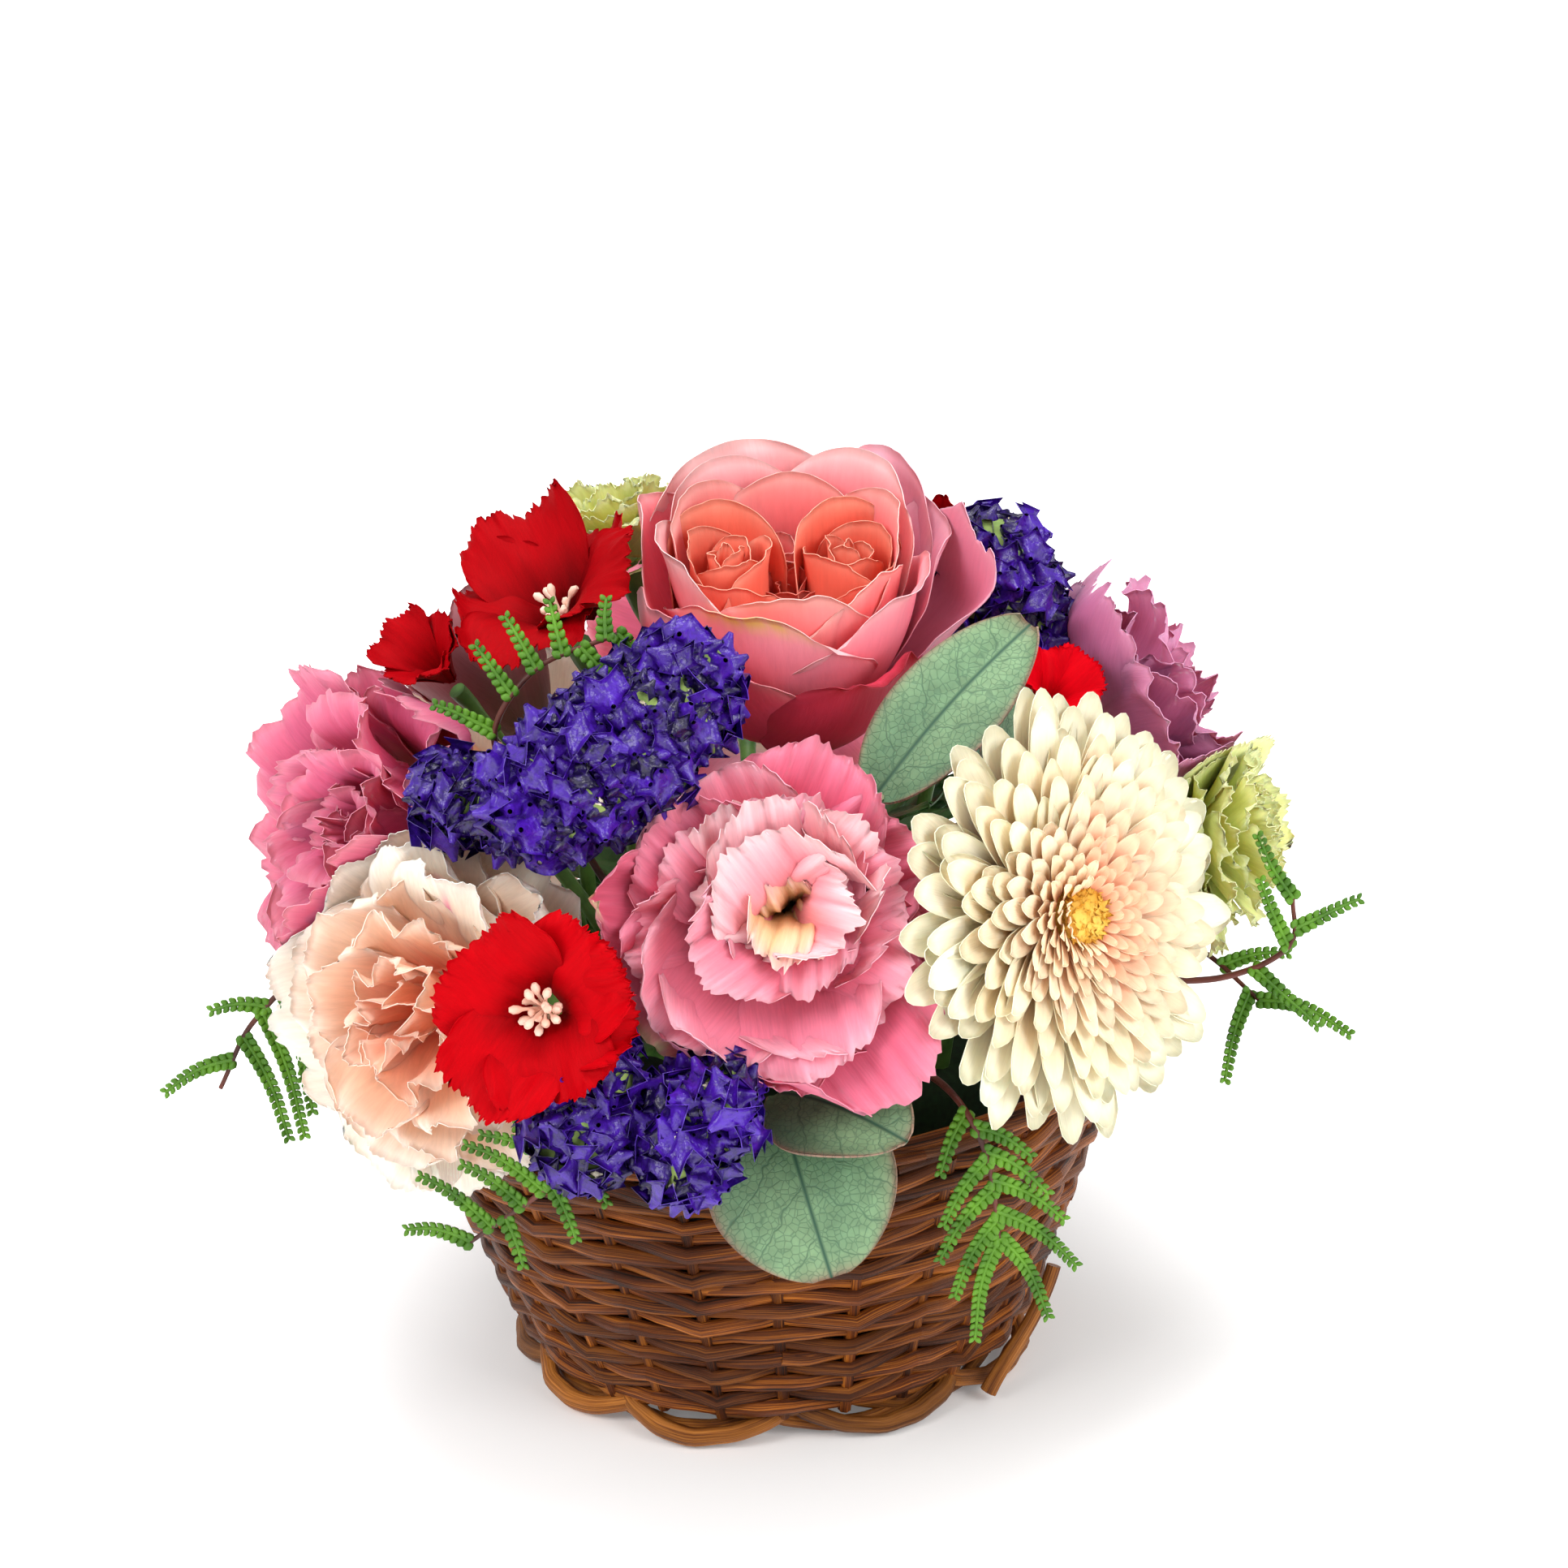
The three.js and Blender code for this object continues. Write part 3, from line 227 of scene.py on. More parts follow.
def hand_on(tree, given, shape):
    """Ends a tree: the shape made real, with its finish on it."""
    real = node(tree, "GeometryNodeRealizeInstances", {"Geometry": shape.outputs[0]})
    coated = node(tree, "GeometryNodeSetMaterial", {"Geometry": real.outputs[0],
                                                    "Material": given.outputs["Finish"]})
    node(tree, "NodeGroupOutput", {"Geometry": coated.outputs[0]})
    return tree


def rod_tree():
    """Geometry nodes that sweep a round section along every line of a mesh."""
    tree, given = shape_tree("round_rods", ("Sides", "Int"))
    line = node(tree, "GeometryNodeMeshToCurve", {"Mesh": given.outputs["Geometry"]})
    length = node(tree, "GeometryNodeSplineParameter").outputs["Length"]
    marked = node(tree, "GeometryNodeStoreNamedAttribute",
                  {"Geometry": line.outputs[0], "Name": "along", "Value": length})
    thick = node(tree, "GeometryNodeInputNamedAttribute", {"Name": "thick"}).outputs["Attribute"]
    sized = node(tree, "GeometryNodeSetCurveRadius", {"Curve": marked.outputs[0], "Radius": thick})
    circle = node(tree, "GeometryNodeCurvePrimitiveCircle",
                  {"Resolution": given.outputs["Sides"], "Radius": 1.0})
    share = node(tree, "ShaderNodeMath", {0: node(tree, "GeometryNodeInputIndex").outputs[0],
                                          1: given.outputs["Sides"]}, operation="DIVIDE")
    section = node(tree, "GeometryNodeStoreNamedAttribute",
                   {"Geometry": circle.outputs[0], "Name": "around", "Value": share.outputs[0]})
    swept = node(tree, "GeometryNodeCurveToMesh", {"Curve": sized.outputs[0],
                                                   "Profile Curve": section.outputs[0],
                                                   "Fill Caps": True})
    if "Scale" in swept.inputs:
        tree.links.new(thick, swept.inputs["Scale"])
    return hand_on(tree, given, swept)


def grown(name, mesh, tree, **values):
    """The plain mesh object that a geometry nodes tree makes from a mesh."""
    source = bpy.data.objects.new(name + "_source", mesh)
    bpy.context.collection.objects.link(source)
    modifier = source.modifiers.new(name, "NODES")
    modifier.node_group = tree
    for item in tree.interface.items_tree:
        if item.in_out == "INPUT" and item.name in values:
            modifier[item.identifier] = values[item.name]
    seen = source.evaluated_get(bpy.context.evaluated_depsgraph_get())
    made = bpy.data.objects.new(name, bpy.data.meshes.new_from_object(seen))
    bpy.context.collection.objects.link(made)
    bpy.data.objects.remove(source)
    made.data.shade_smooth()
    return made


ROUND_RODS = rod_tree()


def rods(name, paths, thickness, material, sides=8):
    """Round rods along paths of points in mm, each with its radius at every point."""
    mesh = bpy.data.meshes.new(name + "_lines")
    starts = np.cumsum([0] + [len(path) for path in paths])
    edges = [(a + i, a + i + 1) for a, path in zip(starts, paths) for i in range(len(path) - 1)]
    mesh.from_pydata((np.concatenate(paths) * MM).tolist(), edges, [])
    thick = mesh.attributes.new("thick", "FLOAT", "POINT")
    thick.data.foreach_set("value", np.concatenate(
        [np.broadcast_to(radius, len(path)) for path, radius in zip(paths, thickness)]) * MM)
    draw = np.random.default_rng(len(name))
    rod_id = mesh.attributes.new("rod", "FLOAT", "POINT")
    rod_id.data.foreach_set("value", np.concatenate(
        [np.full(len(path), draw.random()) for path in paths]))
    return grown(name, mesh, ROUND_RODS, Sides=sides, Finish=material)


def on_basket(radius, angle, height):
    """Points round the basket's axis, angle 0 at the front, in mm."""
    return np.stack([radius * np.sin(angle), -radius * np.cos(angle),
                     np.broadcast_to(height, np.shape(angle)) + 0 * angle], axis=-1)


STEP = 2 * math.pi / STAKES
LOOPS = 10
FOOT_JOIN = 8.5
# The strands of the foot: how many loops each spans, its shift, its radius, how low it hangs,
# how far out it runs and how far its ends tuck in.
STRANDS = ((1.35, 0.0, 1.65, 1.7, 1.6, 5.5), (1.7, 0.55, 1.4, 1.5, -2.6, 1.5),
           (1.2, 0.2, 1.2, 5.6, -1.4, 1.0))
peeled_willow = willow("peeled_willow", "#4a2208", "#8a501c", "#bc7834")
foot_paths, foot_sizes = [], []
for loop in range(len(STRANDS) * LOOPS):
    long, shift, rod, hang_low, out, tuck = STRANDS[loop // LOOPS]
    t = np.linspace(0, 1, 30)
    start = loop + shift + 0.12 * rng.standard_normal()
    hang = np.sin(np.pi * t) ** 0.7
    thick = rod * (1 + 0.08 * np.cos(9 * t + loop))
    low = hang_low + 0.5 * rng.random()
    height = np.maximum(FOOT_JOIN + (low - FOOT_JOIN) * hang, thick)
    radius = FOOT_RADIUS + out - tuck * np.abs(2 * t - 1) ** 2 + wander(t, 0.4, 2, 90 + loop)
    foot_paths.append(on_basket(radius, (start + long * t) * 2 * math.pi / LOOPS, height))
    foot_sizes.append(thick)
t = np.linspace(0, 1, 20)
stray_angle = 1.12 - 0.3 * t + 0.02 * np.sin(6 * t)
foot_paths.append(on_basket(55.5 - 5.0 * t, stray_angle, 21.0 - 19.0 * t ** 0.9))
foot_sizes.append(1.35 + 0.25 * t ** 4)
foot = rods("foot_border", foot_paths, foot_sizes, peeled_willow, 9)
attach(foot, "root")
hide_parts("basket_foot")

# ---------- woven base ----------
# Thin rods woven in rings round crossed sticks, inside the bottom of the wall.

base_low, base_high = (np.array(corner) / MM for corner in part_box("basket_base"))
brown_willow = willow("brown_willow", "#160802", "#5c2a0c", "#b0661e")
base_paths, base_sizes = [], []
BASE_RINGS, BASE_STEPS, BASE_ROD = 13, 90, 1.45
for ring in range(BASE_RINGS):
    radius = base_high[0] * (ring + 0.5) / BASE_RINGS
    angle = np.linspace(0, 2 * math.pi, BASE_STEPS)
    height = (base_low[2] + base_high[2]) / 2 + 0.5 * np.cos(8 * angle + math.pi * ring)
    base_paths.append(on_basket(radius, angle, height))
    base_sizes.append(np.full(BASE_STEPS, BASE_ROD))
base = rods("base_disc", base_paths, base_sizes, brown_willow, 6)
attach(base, "root")
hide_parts("basket_base")

# ---------- wall ----------
# Upright stakes with rows of weavers between them. A weaver passes in front of one stake and
# behind the next, the row above the other way, and each is nicked down or up where it passes,
# so the rows lie in a shallow zigzag.

ROWS = 18
WAVE = 1.2
WALL_STAKES = 26
ZIGZAG = 1.15
PER_STAKE = 8
STAKE_STEPS, STAKE_ROD = 14, 1.25
wall_bottom = FOOT_HEIGHT + 0.3
wall_top = BASKET_HEIGHT - RIM_HEIGHT - 0.3
pitch_z = (wall_top - wall_bottom) / ROWS
wall_paths, wall_sizes = [], []
for row in range(ROWS):
    turns = np.arange(0, WALL_STAKES + 2.6, 1 / PER_STAKE)
    start = rng.integers(0, WALL_STAKES)
    tilt = rng.uniform(-0.25, 0.25)
    place = turns + start
    near = np.abs((place + 0.5) % 1 - 0.5) * 2
    side = np.where(np.round(place) % 2 < 1, 1, -1)
    swing = (1 - near) ** 0.9 * side * (-1) ** row
    zigzag = ZIGZAG * (1 - near) ** 1.3 * side * (0.8 + wander(turns, 0.35, 0.6, 400 + row))
    ends = np.clip((WALL_STAKES + 2.4 - turns) / 1.6, 0, 1)
    height = (wall_bottom + pitch_z * (row + 0.5) + zigzag + wander(turns, 0.3, 0.15, row)
              + tilt * (turns / WALL_STAKES - 0.5))
    middle = FOOT_RADIUS + FLARE * height - WAVE - 1.6
    radius = middle + WAVE * swing - (1 - ends) * 2.0 + wander(turns, 0.25, 0.4, 50 + row)
    wall_paths.append(on_basket(radius, place * 2 * math.pi / WALL_STAKES, height))
    taper = 1.5 + wander(turns, 0.16, 0.3, 200 + row) + 0.08 * rng.standard_normal()
    wall_sizes.append(taper * (0.7 + 0.3 * ends))
for stake in range(WALL_STAKES):
    z = np.linspace(wall_bottom - 1, wall_top + 1, STAKE_STEPS)
    angle = np.full(STAKE_STEPS, stake * 2 * math.pi / WALL_STAKES)
    wall_paths.append(on_basket(FOOT_RADIUS + FLARE * z - WAVE - 1.9, angle, z))
    wall_sizes.append(np.full(STAKE_STEPS, STAKE_ROD))
wall = rods("woven_wall", wall_paths, wall_sizes, brown_willow, 8)
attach(wall, "root")
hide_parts("basket_wall")

# ---------- rim border ----------
# The tops of the stakes, bent over and laid along the rim past the next three, in a rope of
# slanting rods. One rod end stands out at the right.

ROLL = 1.95
rim_paths, rim_sizes = [], []
for stake in range(2 * STAKES):
    t = np.linspace(0, 1, 40)
    angle = (stake * 0.5 + 3.1 * t + wander(t, 0.04, 1, 300 + stake)) * STEP
    roll_over = math.radians(-150) + math.radians(215) * t ** 0.85
    ring_radius = RIM_RADIUS - RIM_HEIGHT / 2 - 0.2
    radius = (ring_radius + (ROLL + 0.25 * (stake % 2)) * np.sin(roll_over)
              + 0.55 * wander(t, 1, 2, stake))
    height = (BASKET_HEIGHT - RIM_HEIGHT / 2 + ROLL * np.cos(roll_over) - 0.4
              + 0.5 * wander(t, 1, 1.4, 500 + stake))
    rim_paths.append(on_basket(radius, angle, height))
    rim_sizes.append(np.interp(t, [0, 0.1, 0.8, 1], [1.1, 1.45, 1.4, 1.0]) * rng.uniform(0.82, 1.08))
loose = np.linspace(0, 1, 12)
loose_angle = math.radians(70) + loose * math.radians(-24)
rim_paths.append(on_basket(RIM_RADIUS - 2.2 + 5.5 * (1 - loose) ** 2, loose_angle,
                           BASKET_HEIGHT - 1.6 + 1.5 * loose))
rim_sizes.append(np.full(12, 1.3))
rim = rods("rim_border", rim_paths, rim_sizes, brown_willow, 9)
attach(rim, "root")
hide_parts("basket_rim")

# ---------- liner and foam ----------
# A thin plastic liner inside the wall, its near-black colour painted shade for the dark inside
# of the basket, and the block of dark green wet foam that fills it and holds every stem. Both
# are hidden by the flowers.


def ring_quads(first, count, away=None):
    """Faces from a ring of points to the next ring, or to one that starts some points away."""
    a = np.arange(first, first + count)
    b = np.roll(a, -1)
    away = away or count
    return np.stack([a, b, b + away, a + away], axis=1).tolist()


def lathe(profile, around):
    """Points and faces of a body turned about the basket's axis, from [radius, height] in mm."""
    angle = np.linspace(0, 2 * math.pi, around, endpoint=False)
    loops = [on_basket(r, angle, z) for r, z in profile]
    points = np.concatenate(loops)
    faces = []
    for i in range(len(profile) - 1):
        faces += ring_quads(i * around, around)
    last = (len(profile) - 1) * around
    return points, faces + [list(range(around))[::-1], list(range(last, last + around))]


def piece(name, points, faces, material, tint=None, grain=None, flat=None):
    """A smooth mesh object from points in mm, with its tint and grain, and its flat faces."""
    mesh = bpy.data.meshes.new(name)
    mesh.vertices.add(len(points))
    mesh.vertices.foreach_set("co", (np.asarray(points) * MM).ravel())
    sizes = np.array([len(face) for face in faces])
    mesh.loops.add(int(sizes.sum()))
    mesh.loops.foreach_set("vertex_index", np.concatenate([np.asarray(f) for f in faces])
                           if sizes.min() != sizes.max() else np.asarray(faces).ravel())
    mesh.polygons.add(len(faces))
    mesh.polygons.foreach_set("loop_start", np.concatenate([[0], np.cumsum(sizes)[:-1]]))
    mesh.update(calc_edges=True)
    if tint is not None:
        colors = mesh.attributes.new("tint", "FLOAT_COLOR", "POINT")
        colors.data.foreach_set("color", np.column_stack([tint, np.ones(len(tint))]).ravel())
    if grain is not None:
        mesh.attributes.new("grain", "FLOAT_VECTOR", "POINT").data.foreach_set("vector", grain.ravel())
    mesh.materials.append(material)
    mesh.shade_smooth()
    if flat is not None:
        mesh.polygons.foreach_set("use_smooth", ~flat)
    made = bpy.data.objects.new(name, mesh)
    bpy.context.collection.objects.link(made)
    return made


def linear_mix(first, second, share):
    """Colours from the first to the second by a share from 0 to 1 at each point."""
    share = np.clip(np.asarray(share, float), 0, 1)[..., None]
    return first * (1 - share) + second * share


FOAM_TOP = 63.0
FOAM_RADIUS = 45.0
FILM = 0.8
PIN_HOLE = 1
AROUND = 60
liner_low, liner_high = (np.array(corner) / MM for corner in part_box("liner"))
liner_floor, liner_top = liner_low[2], liner_high[2]
liner_wide, liner_foot = liner_high[0], FOOT_RADIUS + FLARE * liner_floor - 6.2
# The liner's near-black is painted shade: the dark inside of the basket under the flowers.
liner_painted_shade = finish("liner_painted_shade", 0.35, Base_Color=(*linear("#12100f"), 1))[0]
points, faces = lathe([(PIN_HOLE, liner_floor), (liner_foot, liner_floor), (liner_wide, liner_top),
                       (liner_wide - FILM, liner_top), (liner_foot - FILM, liner_floor + FILM),
                       (PIN_HOLE, liner_floor + FILM)], AROUND)
liner = piece("liner_film", points, faces, liner_painted_shade)
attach(liner, "root")
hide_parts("liner")

foam_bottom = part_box("foam")[0][2] / MM
wet_foam, foam_tree, foam_shader = finish("wet_foam", 0.95)
speck = node(foam_tree, "ShaderNodeTexNoise", {"Scale": 900.0, "Detail": 4.0,
             "Vector": node(foam_tree, "ShaderNodeTexCoord").outputs["Object"]})
dots = node(foam_tree, "ShaderNodeValToRGB", {"Fac": speck.outputs["Fac"]})
ramp_ends(dots, "#0c1a0e", "#1e4022")
foam_tree.links.new(dots.outputs[0], foam_shader.inputs["Base Color"])
points, faces = lathe([(PIN_HOLE, foam_bottom), (liner_foot - 4.5, foam_bottom), (FOAM_RADIUS, 30),
                       (FOAM_RADIUS, FOAM_TOP - 4), (FOAM_RADIUS - 1.2, FOAM_TOP - 1.2),
                       (FOAM_RADIUS - 4, FOAM_TOP), (PIN_HOLE, FOAM_TOP)], AROUND)
foam = piece("foam_block", points, faces, wet_foam)
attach(foam, "root")
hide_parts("foam")

# ---------- stems ----------
# Cut stems pushed into the foam, each bending up and out to its own flower. The flowers lean
# on one another, so each has its own room, shared by a plane with every neighbour.

UP = np.array([0.0, 0.0, 1.0])


def unit(vector):
    """A vector of length 1 the same way."""
    return np.asarray(vector, float) / np.linalg.norm(vector)


class Bloom:
    """A flower's place: its axes (a along the stem, top, left), base, heart and room."""

    def __init__(self, face, axis, depth, size, reach, turn, entry, owner):
        self.a = unit(axis)
        self.top = unit(UP - self.a * self.a[2])
        self.left = np.cross(self.a, self.top)
        self.size, self.reach, self.turn, self.entry, self.owner = size, reach, turn, entry, owner
        self.base = np.array(face) - self.a * depth * size
        self.heart = np.array(face) - self.a * 0.45 * depth * size
        self.walls = []


# Middle of the open face, the way it faces, depth from face to calyx, size, room that it
# takes, turn about its axis, where its stem enters the foam, and its calyx: radius, length
# and the stem's radius.
STANDS = {
    "rose": ((9, -14, 155), (0.03, -0.25, 0.97), 38, 1, 31, 0, (4, -3), (4.5, 7, 2.2)),
    "lisianthus_front": ((1, -75, 110), (0, -0.93, 0.36), 33, 1.06, 29, 8, (2, -30), (3.2, 4, 1.6)),
    "gerbera": ((54, -62, 104), (0.65, -0.72, 0.25), 12, 1, 31, 0, (30, -26), (8, 5, 2.4)),
    "carnation_peach": ((-60, -59, 91), (-0.5, -0.84, 0.2), 27, 1, 32, 0, (-29, -27), (4.2, 16, 1.7)),
    "dianthus_front": ((-36, -85, 102), (-0.25, -0.93, 0.28), 15, 0.84, 15, 20, (-7, -38), (2.6, 15, 1.1)),
    "dianthus_left": ((-33, -17, 151), (-0.35, -0.35, 0.87), 15, 0.9, 16, 30, (-18, -8), (2.6, 15, 1.1)),
    "dianthus_left_small": ((-55, -16, 140), (-0.5, -0.4, 0.77), 18, 0.6, 9, 0, (-27, -3), (2.6, 13, 1)),
    "lisianthus_left": ((-72, -26, 112), (-0.78, -0.54, 0.3), 32, 0.94, 28, 20, (-34, -8), (3.2, 4, 1.6)),
    "lisianthus_bud": ((-50, 15, 134), (-0.5, 0.55, 0.67), 28, 0.9, 17, 0, (-30, 6), (3.2, 4, 1.6)),
    "lisianthus_right": ((77, 2, 121), (0.8, 0.12, 0.5), 31, 0.8, 25, 15, (33, 2), (3.2, 4, 1.6)),
    "green_right": ((91, -17, 102), (0.93, -0.2, 0.25), 19, 0.95, 18, 0, (37, -12), (3, 12, 1.4)),
    "green_back": ((-24, 26, 156), (-0.3, 0.45, 0.84), 19, 0.9, 17, 0, (-12, 14), (3, 12, 1.4)),
    "dianthus_right": ((54, -21, 131), (0.3, -0.5, 0.8), 18, 0.6, 9, 0, (24, -8), (2.6, 13, 1)),
    "dianthus_back": ((40, 26, 144), (0.4, 0.4, 0.82), 18, 0.8, 13, 0, (20, 14), (2.6, 13, 1)),
    "lisianthus_back": ((0, 80, 112), (0, 0.93, 0.36), 33, 0.95, 29, 0, (0, 31), (3.2, 4, 1.6)),
    "carnation_back": ((-56, 60, 98), (-0.55, 0.78, 0.3), 27, 0.9, 29, 0, (-27, 27), (4.2, 16, 1.7)),
}
# Statice heads: round lumps (x, y, z, radius), the end of the neck, and the lump it leaves.
STATICE = {
    "statice_left": (((-35, -59, 126, 8.5), (-28, -58, 130, 11), (-19, -55, 135, 12),
                      (-10, -49, 142, 9)), (-20, -42, 121), 2),
    "statice_left_side": (((-47, -47, 124, 6.5),), (-42, -34, 116), 0),
    "statice_front_left": (((-27, -79, 88, 7.5), (-30, -81, 78, 7.5)), (-22, -62, 84), 0),
    "statice_front_right": (((-9, -82, 84, 8), (-14, -83, 75, 7)), (-10, -64, 80), 0),
    "statice_right": (((49, 3, 134, 9), (44, 8, 144, 8.5)), (40, 4, 121), 0),
    "statice_back": (((36, 40, 118, 9), (46, 46, 124, 8)), (26, 34, 104), 0),
}
blooms = {name: Bloom(*stand[:7], name) for name, stand in STANDS.items()}
rooms = list(blooms.values())
for name, (lumps, _, _) in STATICE.items():
    for x, y, z, r in lumps:
        rooms.append(Bloom((x, y, z), (0, 0.6, 0.8), 0, 1, r + 1.5, 0, (0, 0), name))
NEAR = 6.0
for one in rooms:
    for other in rooms:
        away = other.heart - one.heart
        d = np.linalg.norm(away)
        if other.owner != one.owner and d <= one.reach + other.reach + NEAR:
            share = (d * d + one.reach ** 2 - other.reach ** 2) / (2 * d)
            one.walls.append((away / d, one.heart @ (away / d) + share, other.owner))


def stem_path(entry, end, along, steps=14):
    """A stem from its foot in the foam to a point that it meets along a given direction."""
    mouth = np.array([entry[0], entry[1], FOAM_TOP])
    lean = unit([end[0] - mouth[0], end[1] - mouth[1], 90])
    rise = np.linalg.norm(end - mouth) * 0.35
    t = np.linspace(0, 1, steps)[:, None]
    curve = ((1 - t) ** 3 * mouth + 3 * (1 - t) ** 2 * t * (mouth + lean * rise)
             + 3 * (1 - t) * t * t * (end - along * rise) + t ** 3 * end)
    return np.vstack([mouth - lean * 24, mouth - lean * 8, curve])


def plant_skin(name, light, dark, roughness=0.5):
    """The skin of a green stem or leaf: two greens in soft patches, with fine lengthwise lines."""
    material, tree, shader = finish(name, roughness, Specular_IOR_Level=0.35)
    place = node(tree, "ShaderNodeTexCoord").outputs["Object"]
    patch = node(tree, "ShaderNodeTexNoise", {"Vector": place, "Scale": 160.0, "Detail": 3.0})
    ramp = node(tree, "ShaderNodeValToRGB", {"Fac": patch.outputs["Fac"]})
    ramp_ends(ramp, dark, light, 0.35, 0.65)
    tree.links.new(ramp.outputs[0], shader.inputs["Base Color"])
    fine = node(tree, "ShaderNodeTexNoise", {"Vector": place, "Scale": 1400.0, "Detail": 2.0})
    bump = node(tree, "ShaderNodeBump", {"Height": fine.outputs["Fac"], "Strength": 0.3,
                                         "Distance": 0.0003})
    tree.links.new(bump.outputs["Normal"], shader.inputs["Normal"])
    return material


stem_skin = plant_skin("stem_skin", "#5f8a3c", "#3c6428")
for name, stand in STANDS.items():
    bloom, (wide, deep, thick) = blooms[name], stand[7]
    at = [bloom.base + bloom.a * h * bloom.size for h in (-deep, -0.6 * deep, -0.25 * deep, -0.4)]
    path = np.vstack([stem_path(bloom.entry, at[0], bloom.a), at[1:]])
    radii = np.full(len(path), thick * bloom.size)
    radii[-3:] = np.array([0.85, 1, 1]) * wide * bloom.size
    radii[-4] = 0.45 * thick * bloom.size + 0.35 * wide * bloom.size
    stem = rods(name + "_green", [path], [radii], stem_skin, 12)
    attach(stem, "root")
    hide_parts(name + "_stem")

TWIG = 1.3
STATICE_STEMS = {
    "statice_left_stem": (("statice_left", "statice_left_side"), (-16, -20)),
    "statice_front_stem": (("statice_front_left", "statice_front_right"), (-12, -38)),
    "statice_right_stem": (("statice_right",), (26, 2)),
    "statice_back_stem": (("statice_back",), (18, 26)),
}
for name, (heads, entry) in STATICE_STEMS.items():
    paths = []
    for head in heads:
        lumps, neck, joint = STATICE[head]
        toward = unit(np.array(lumps[joint][:3]) - neck)
        paths.append(stem_path(entry, np.array(neck) - 0.75 * toward, toward))
    stem = rods(name + "_green", paths, [np.full(len(p), TWIG) for p in paths], stem_skin, 8)
    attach(stem, "root")
    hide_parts(name)

# ---------- leaves among the stems ----------
# Lance-shaped leaves left on the rose and lisianthus stems, dark green, which fill the inside
# of the bunch so that no table shows through it.


def sheets(grids, thickness):
    """Points and faces of thin closed sheets round grids of points, and which faces are edges."""
    all_points, all_faces, all_flat, first = [], [], [], 0
    for grid in grids:
        rows, columns = grid.shape[:2]
        normal = np.cross(np.gradient(grid, axis=0), np.gradient(grid, axis=1))
        normal /= np.maximum(np.linalg.norm(normal, axis=-1, keepdims=True), 1e-9)
        upper, lower = grid + normal * thickness / 2, grid - normal * thickness / 2
        all_points += [upper.reshape(-1, 3), lower.reshape(-1, 3)]
        index = np.arange(rows * columns).reshape(rows, columns) + first
        a, b, c, d = index[:-1, :-1], index[:-1, 1:], index[1:, 1:], index[1:, :-1]
        face = np.stack([a, d, c, b], axis=-1).reshape(-1, 4)
        under = rows * columns
        border = np.concatenate([index[0, :-1], index[:-1, -1], index[-1, :0:-1], index[:0:-1, 0]])
        after = np.roll(border, -1)
        rim = np.stack([border, after, after + under, border + under], axis=1)
        all_faces += [face, face[:, ::-1] + under, rim[:, ::-1]]
        all_flat += [np.zeros(2 * len(face), bool), np.ones(len(rim), bool)]
        first += 2 * under
    return np.concatenate(all_points), np.concatenate(all_faces), np.concatenate(all_flat)


LEAVES_INSIDE = 46
LEAF_THICK = 0.3
GOLDEN_ANGLE = math.pi * (3 - math.sqrt(5))
draw = np.random.default_rng(5)
leaf_grids = []
for k in range(LEAVES_INSIDE):
    angle = k * GOLDEN_ANGLE
    near = 14 + 20 * ((k * 0.37) % 1)
    height = 68 + 34 * ((k * 0.618) % 1) * (1.15 - near / 60)
    root = on_basket(near, np.array(angle), height)
    outward = on_basket(1.0, np.array(angle + draw.uniform(-0.5, 0.5)), 0.0)
    toward = unit(outward + UP * draw.uniform(0.25, 1.0))
    length, half = draw.uniform(20, 30), draw.uniform(5, 7.5)
    side = unit(np.cross(toward, UP))
    lift = np.cross(side, toward)
    u, v = np.meshgrid(np.linspace(0, 1, 15), np.linspace(-1, 1, 7), indexing="ij")
    width = half * np.sin(math.pi * (0.03 + 0.95 * u ** 0.8)) ** 0.8
    fold = 0.25 * np.abs(v) * width - 4 * u * u + 0.6 * np.sin(9 * u + 3 * v)
    leaf_grids.append(root + (u * length)[..., None] * toward + (v * width)[..., None] * side
                      + fold[..., None] * lift)
points, faces, cut = sheets(leaf_grids, LEAF_THICK)
foliage = piece("inner_leaves", points, faces, plant_skin("leaf_green", "#3c6a2c", "#22481c", 0.45),
                flat=cut)
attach(foliage, "root")

# ---------- statice ----------
# Heads of small papery violet calyces, crumpled like crepe, packed side by side on short
# green hairy spikelets. A few hold a tiny cream corolla.


def skin(name, roughness, streaks, glow, across=2.6, along=0.16, depth=0.00012, shine=0.14):
    """A petal's skin, coloured by its tint, with fine streaks that run from root to edge. A
    little light goes through it. Streaks are about 0.4 mm wide."""
    material, tree, shader = finish(name, roughness, Specular_IOR_Level=shine,
                                    Subsurface_Weight=glow, Subsurface_Scale=0.0012,
                                    Subsurface_Radius=(1.0, 0.5, 0.4))
    tint = node(tree, "ShaderNodeAttribute", attribute_name="tint").outputs["Color"]
    grain = node(tree, "ShaderNodeAttribute", attribute_name="grain").outputs["Vector"]
    drawn = node(tree, "ShaderNodeVectorMath", {0: grain, 1: (across, along, 1.0)},
                 operation="MULTIPLY")
    lines = node(tree, "ShaderNodeTexNoise", {"Vector": drawn.outputs[0], "Scale": 1.0,
                                              "Detail": 3.0, "Roughness": 0.65})
    level = node(tree, "ShaderNodeMapRange", {"Value": lines.outputs["Fac"], "From Min": 0.3,
                                              "From Max": 0.7, "To Min": 1 - streaks,
                                              "To Max": 1 + streaks * 0.6})
    shade = node(tree, "ShaderNodeVectorMath", {0: tint, "Scale": level.outputs[0]},
                 operation="SCALE")
    tree.links.new(shade.outputs[0], shader.inputs["Base Color"])
    bump = node(tree, "ShaderNodeBump", {"Height": lines.outputs["Fac"], "Strength": 0.6,
                                         "Distance": depth})
    tree.links.new(bump.outputs["Normal"], shader.inputs["Normal"])
    return material


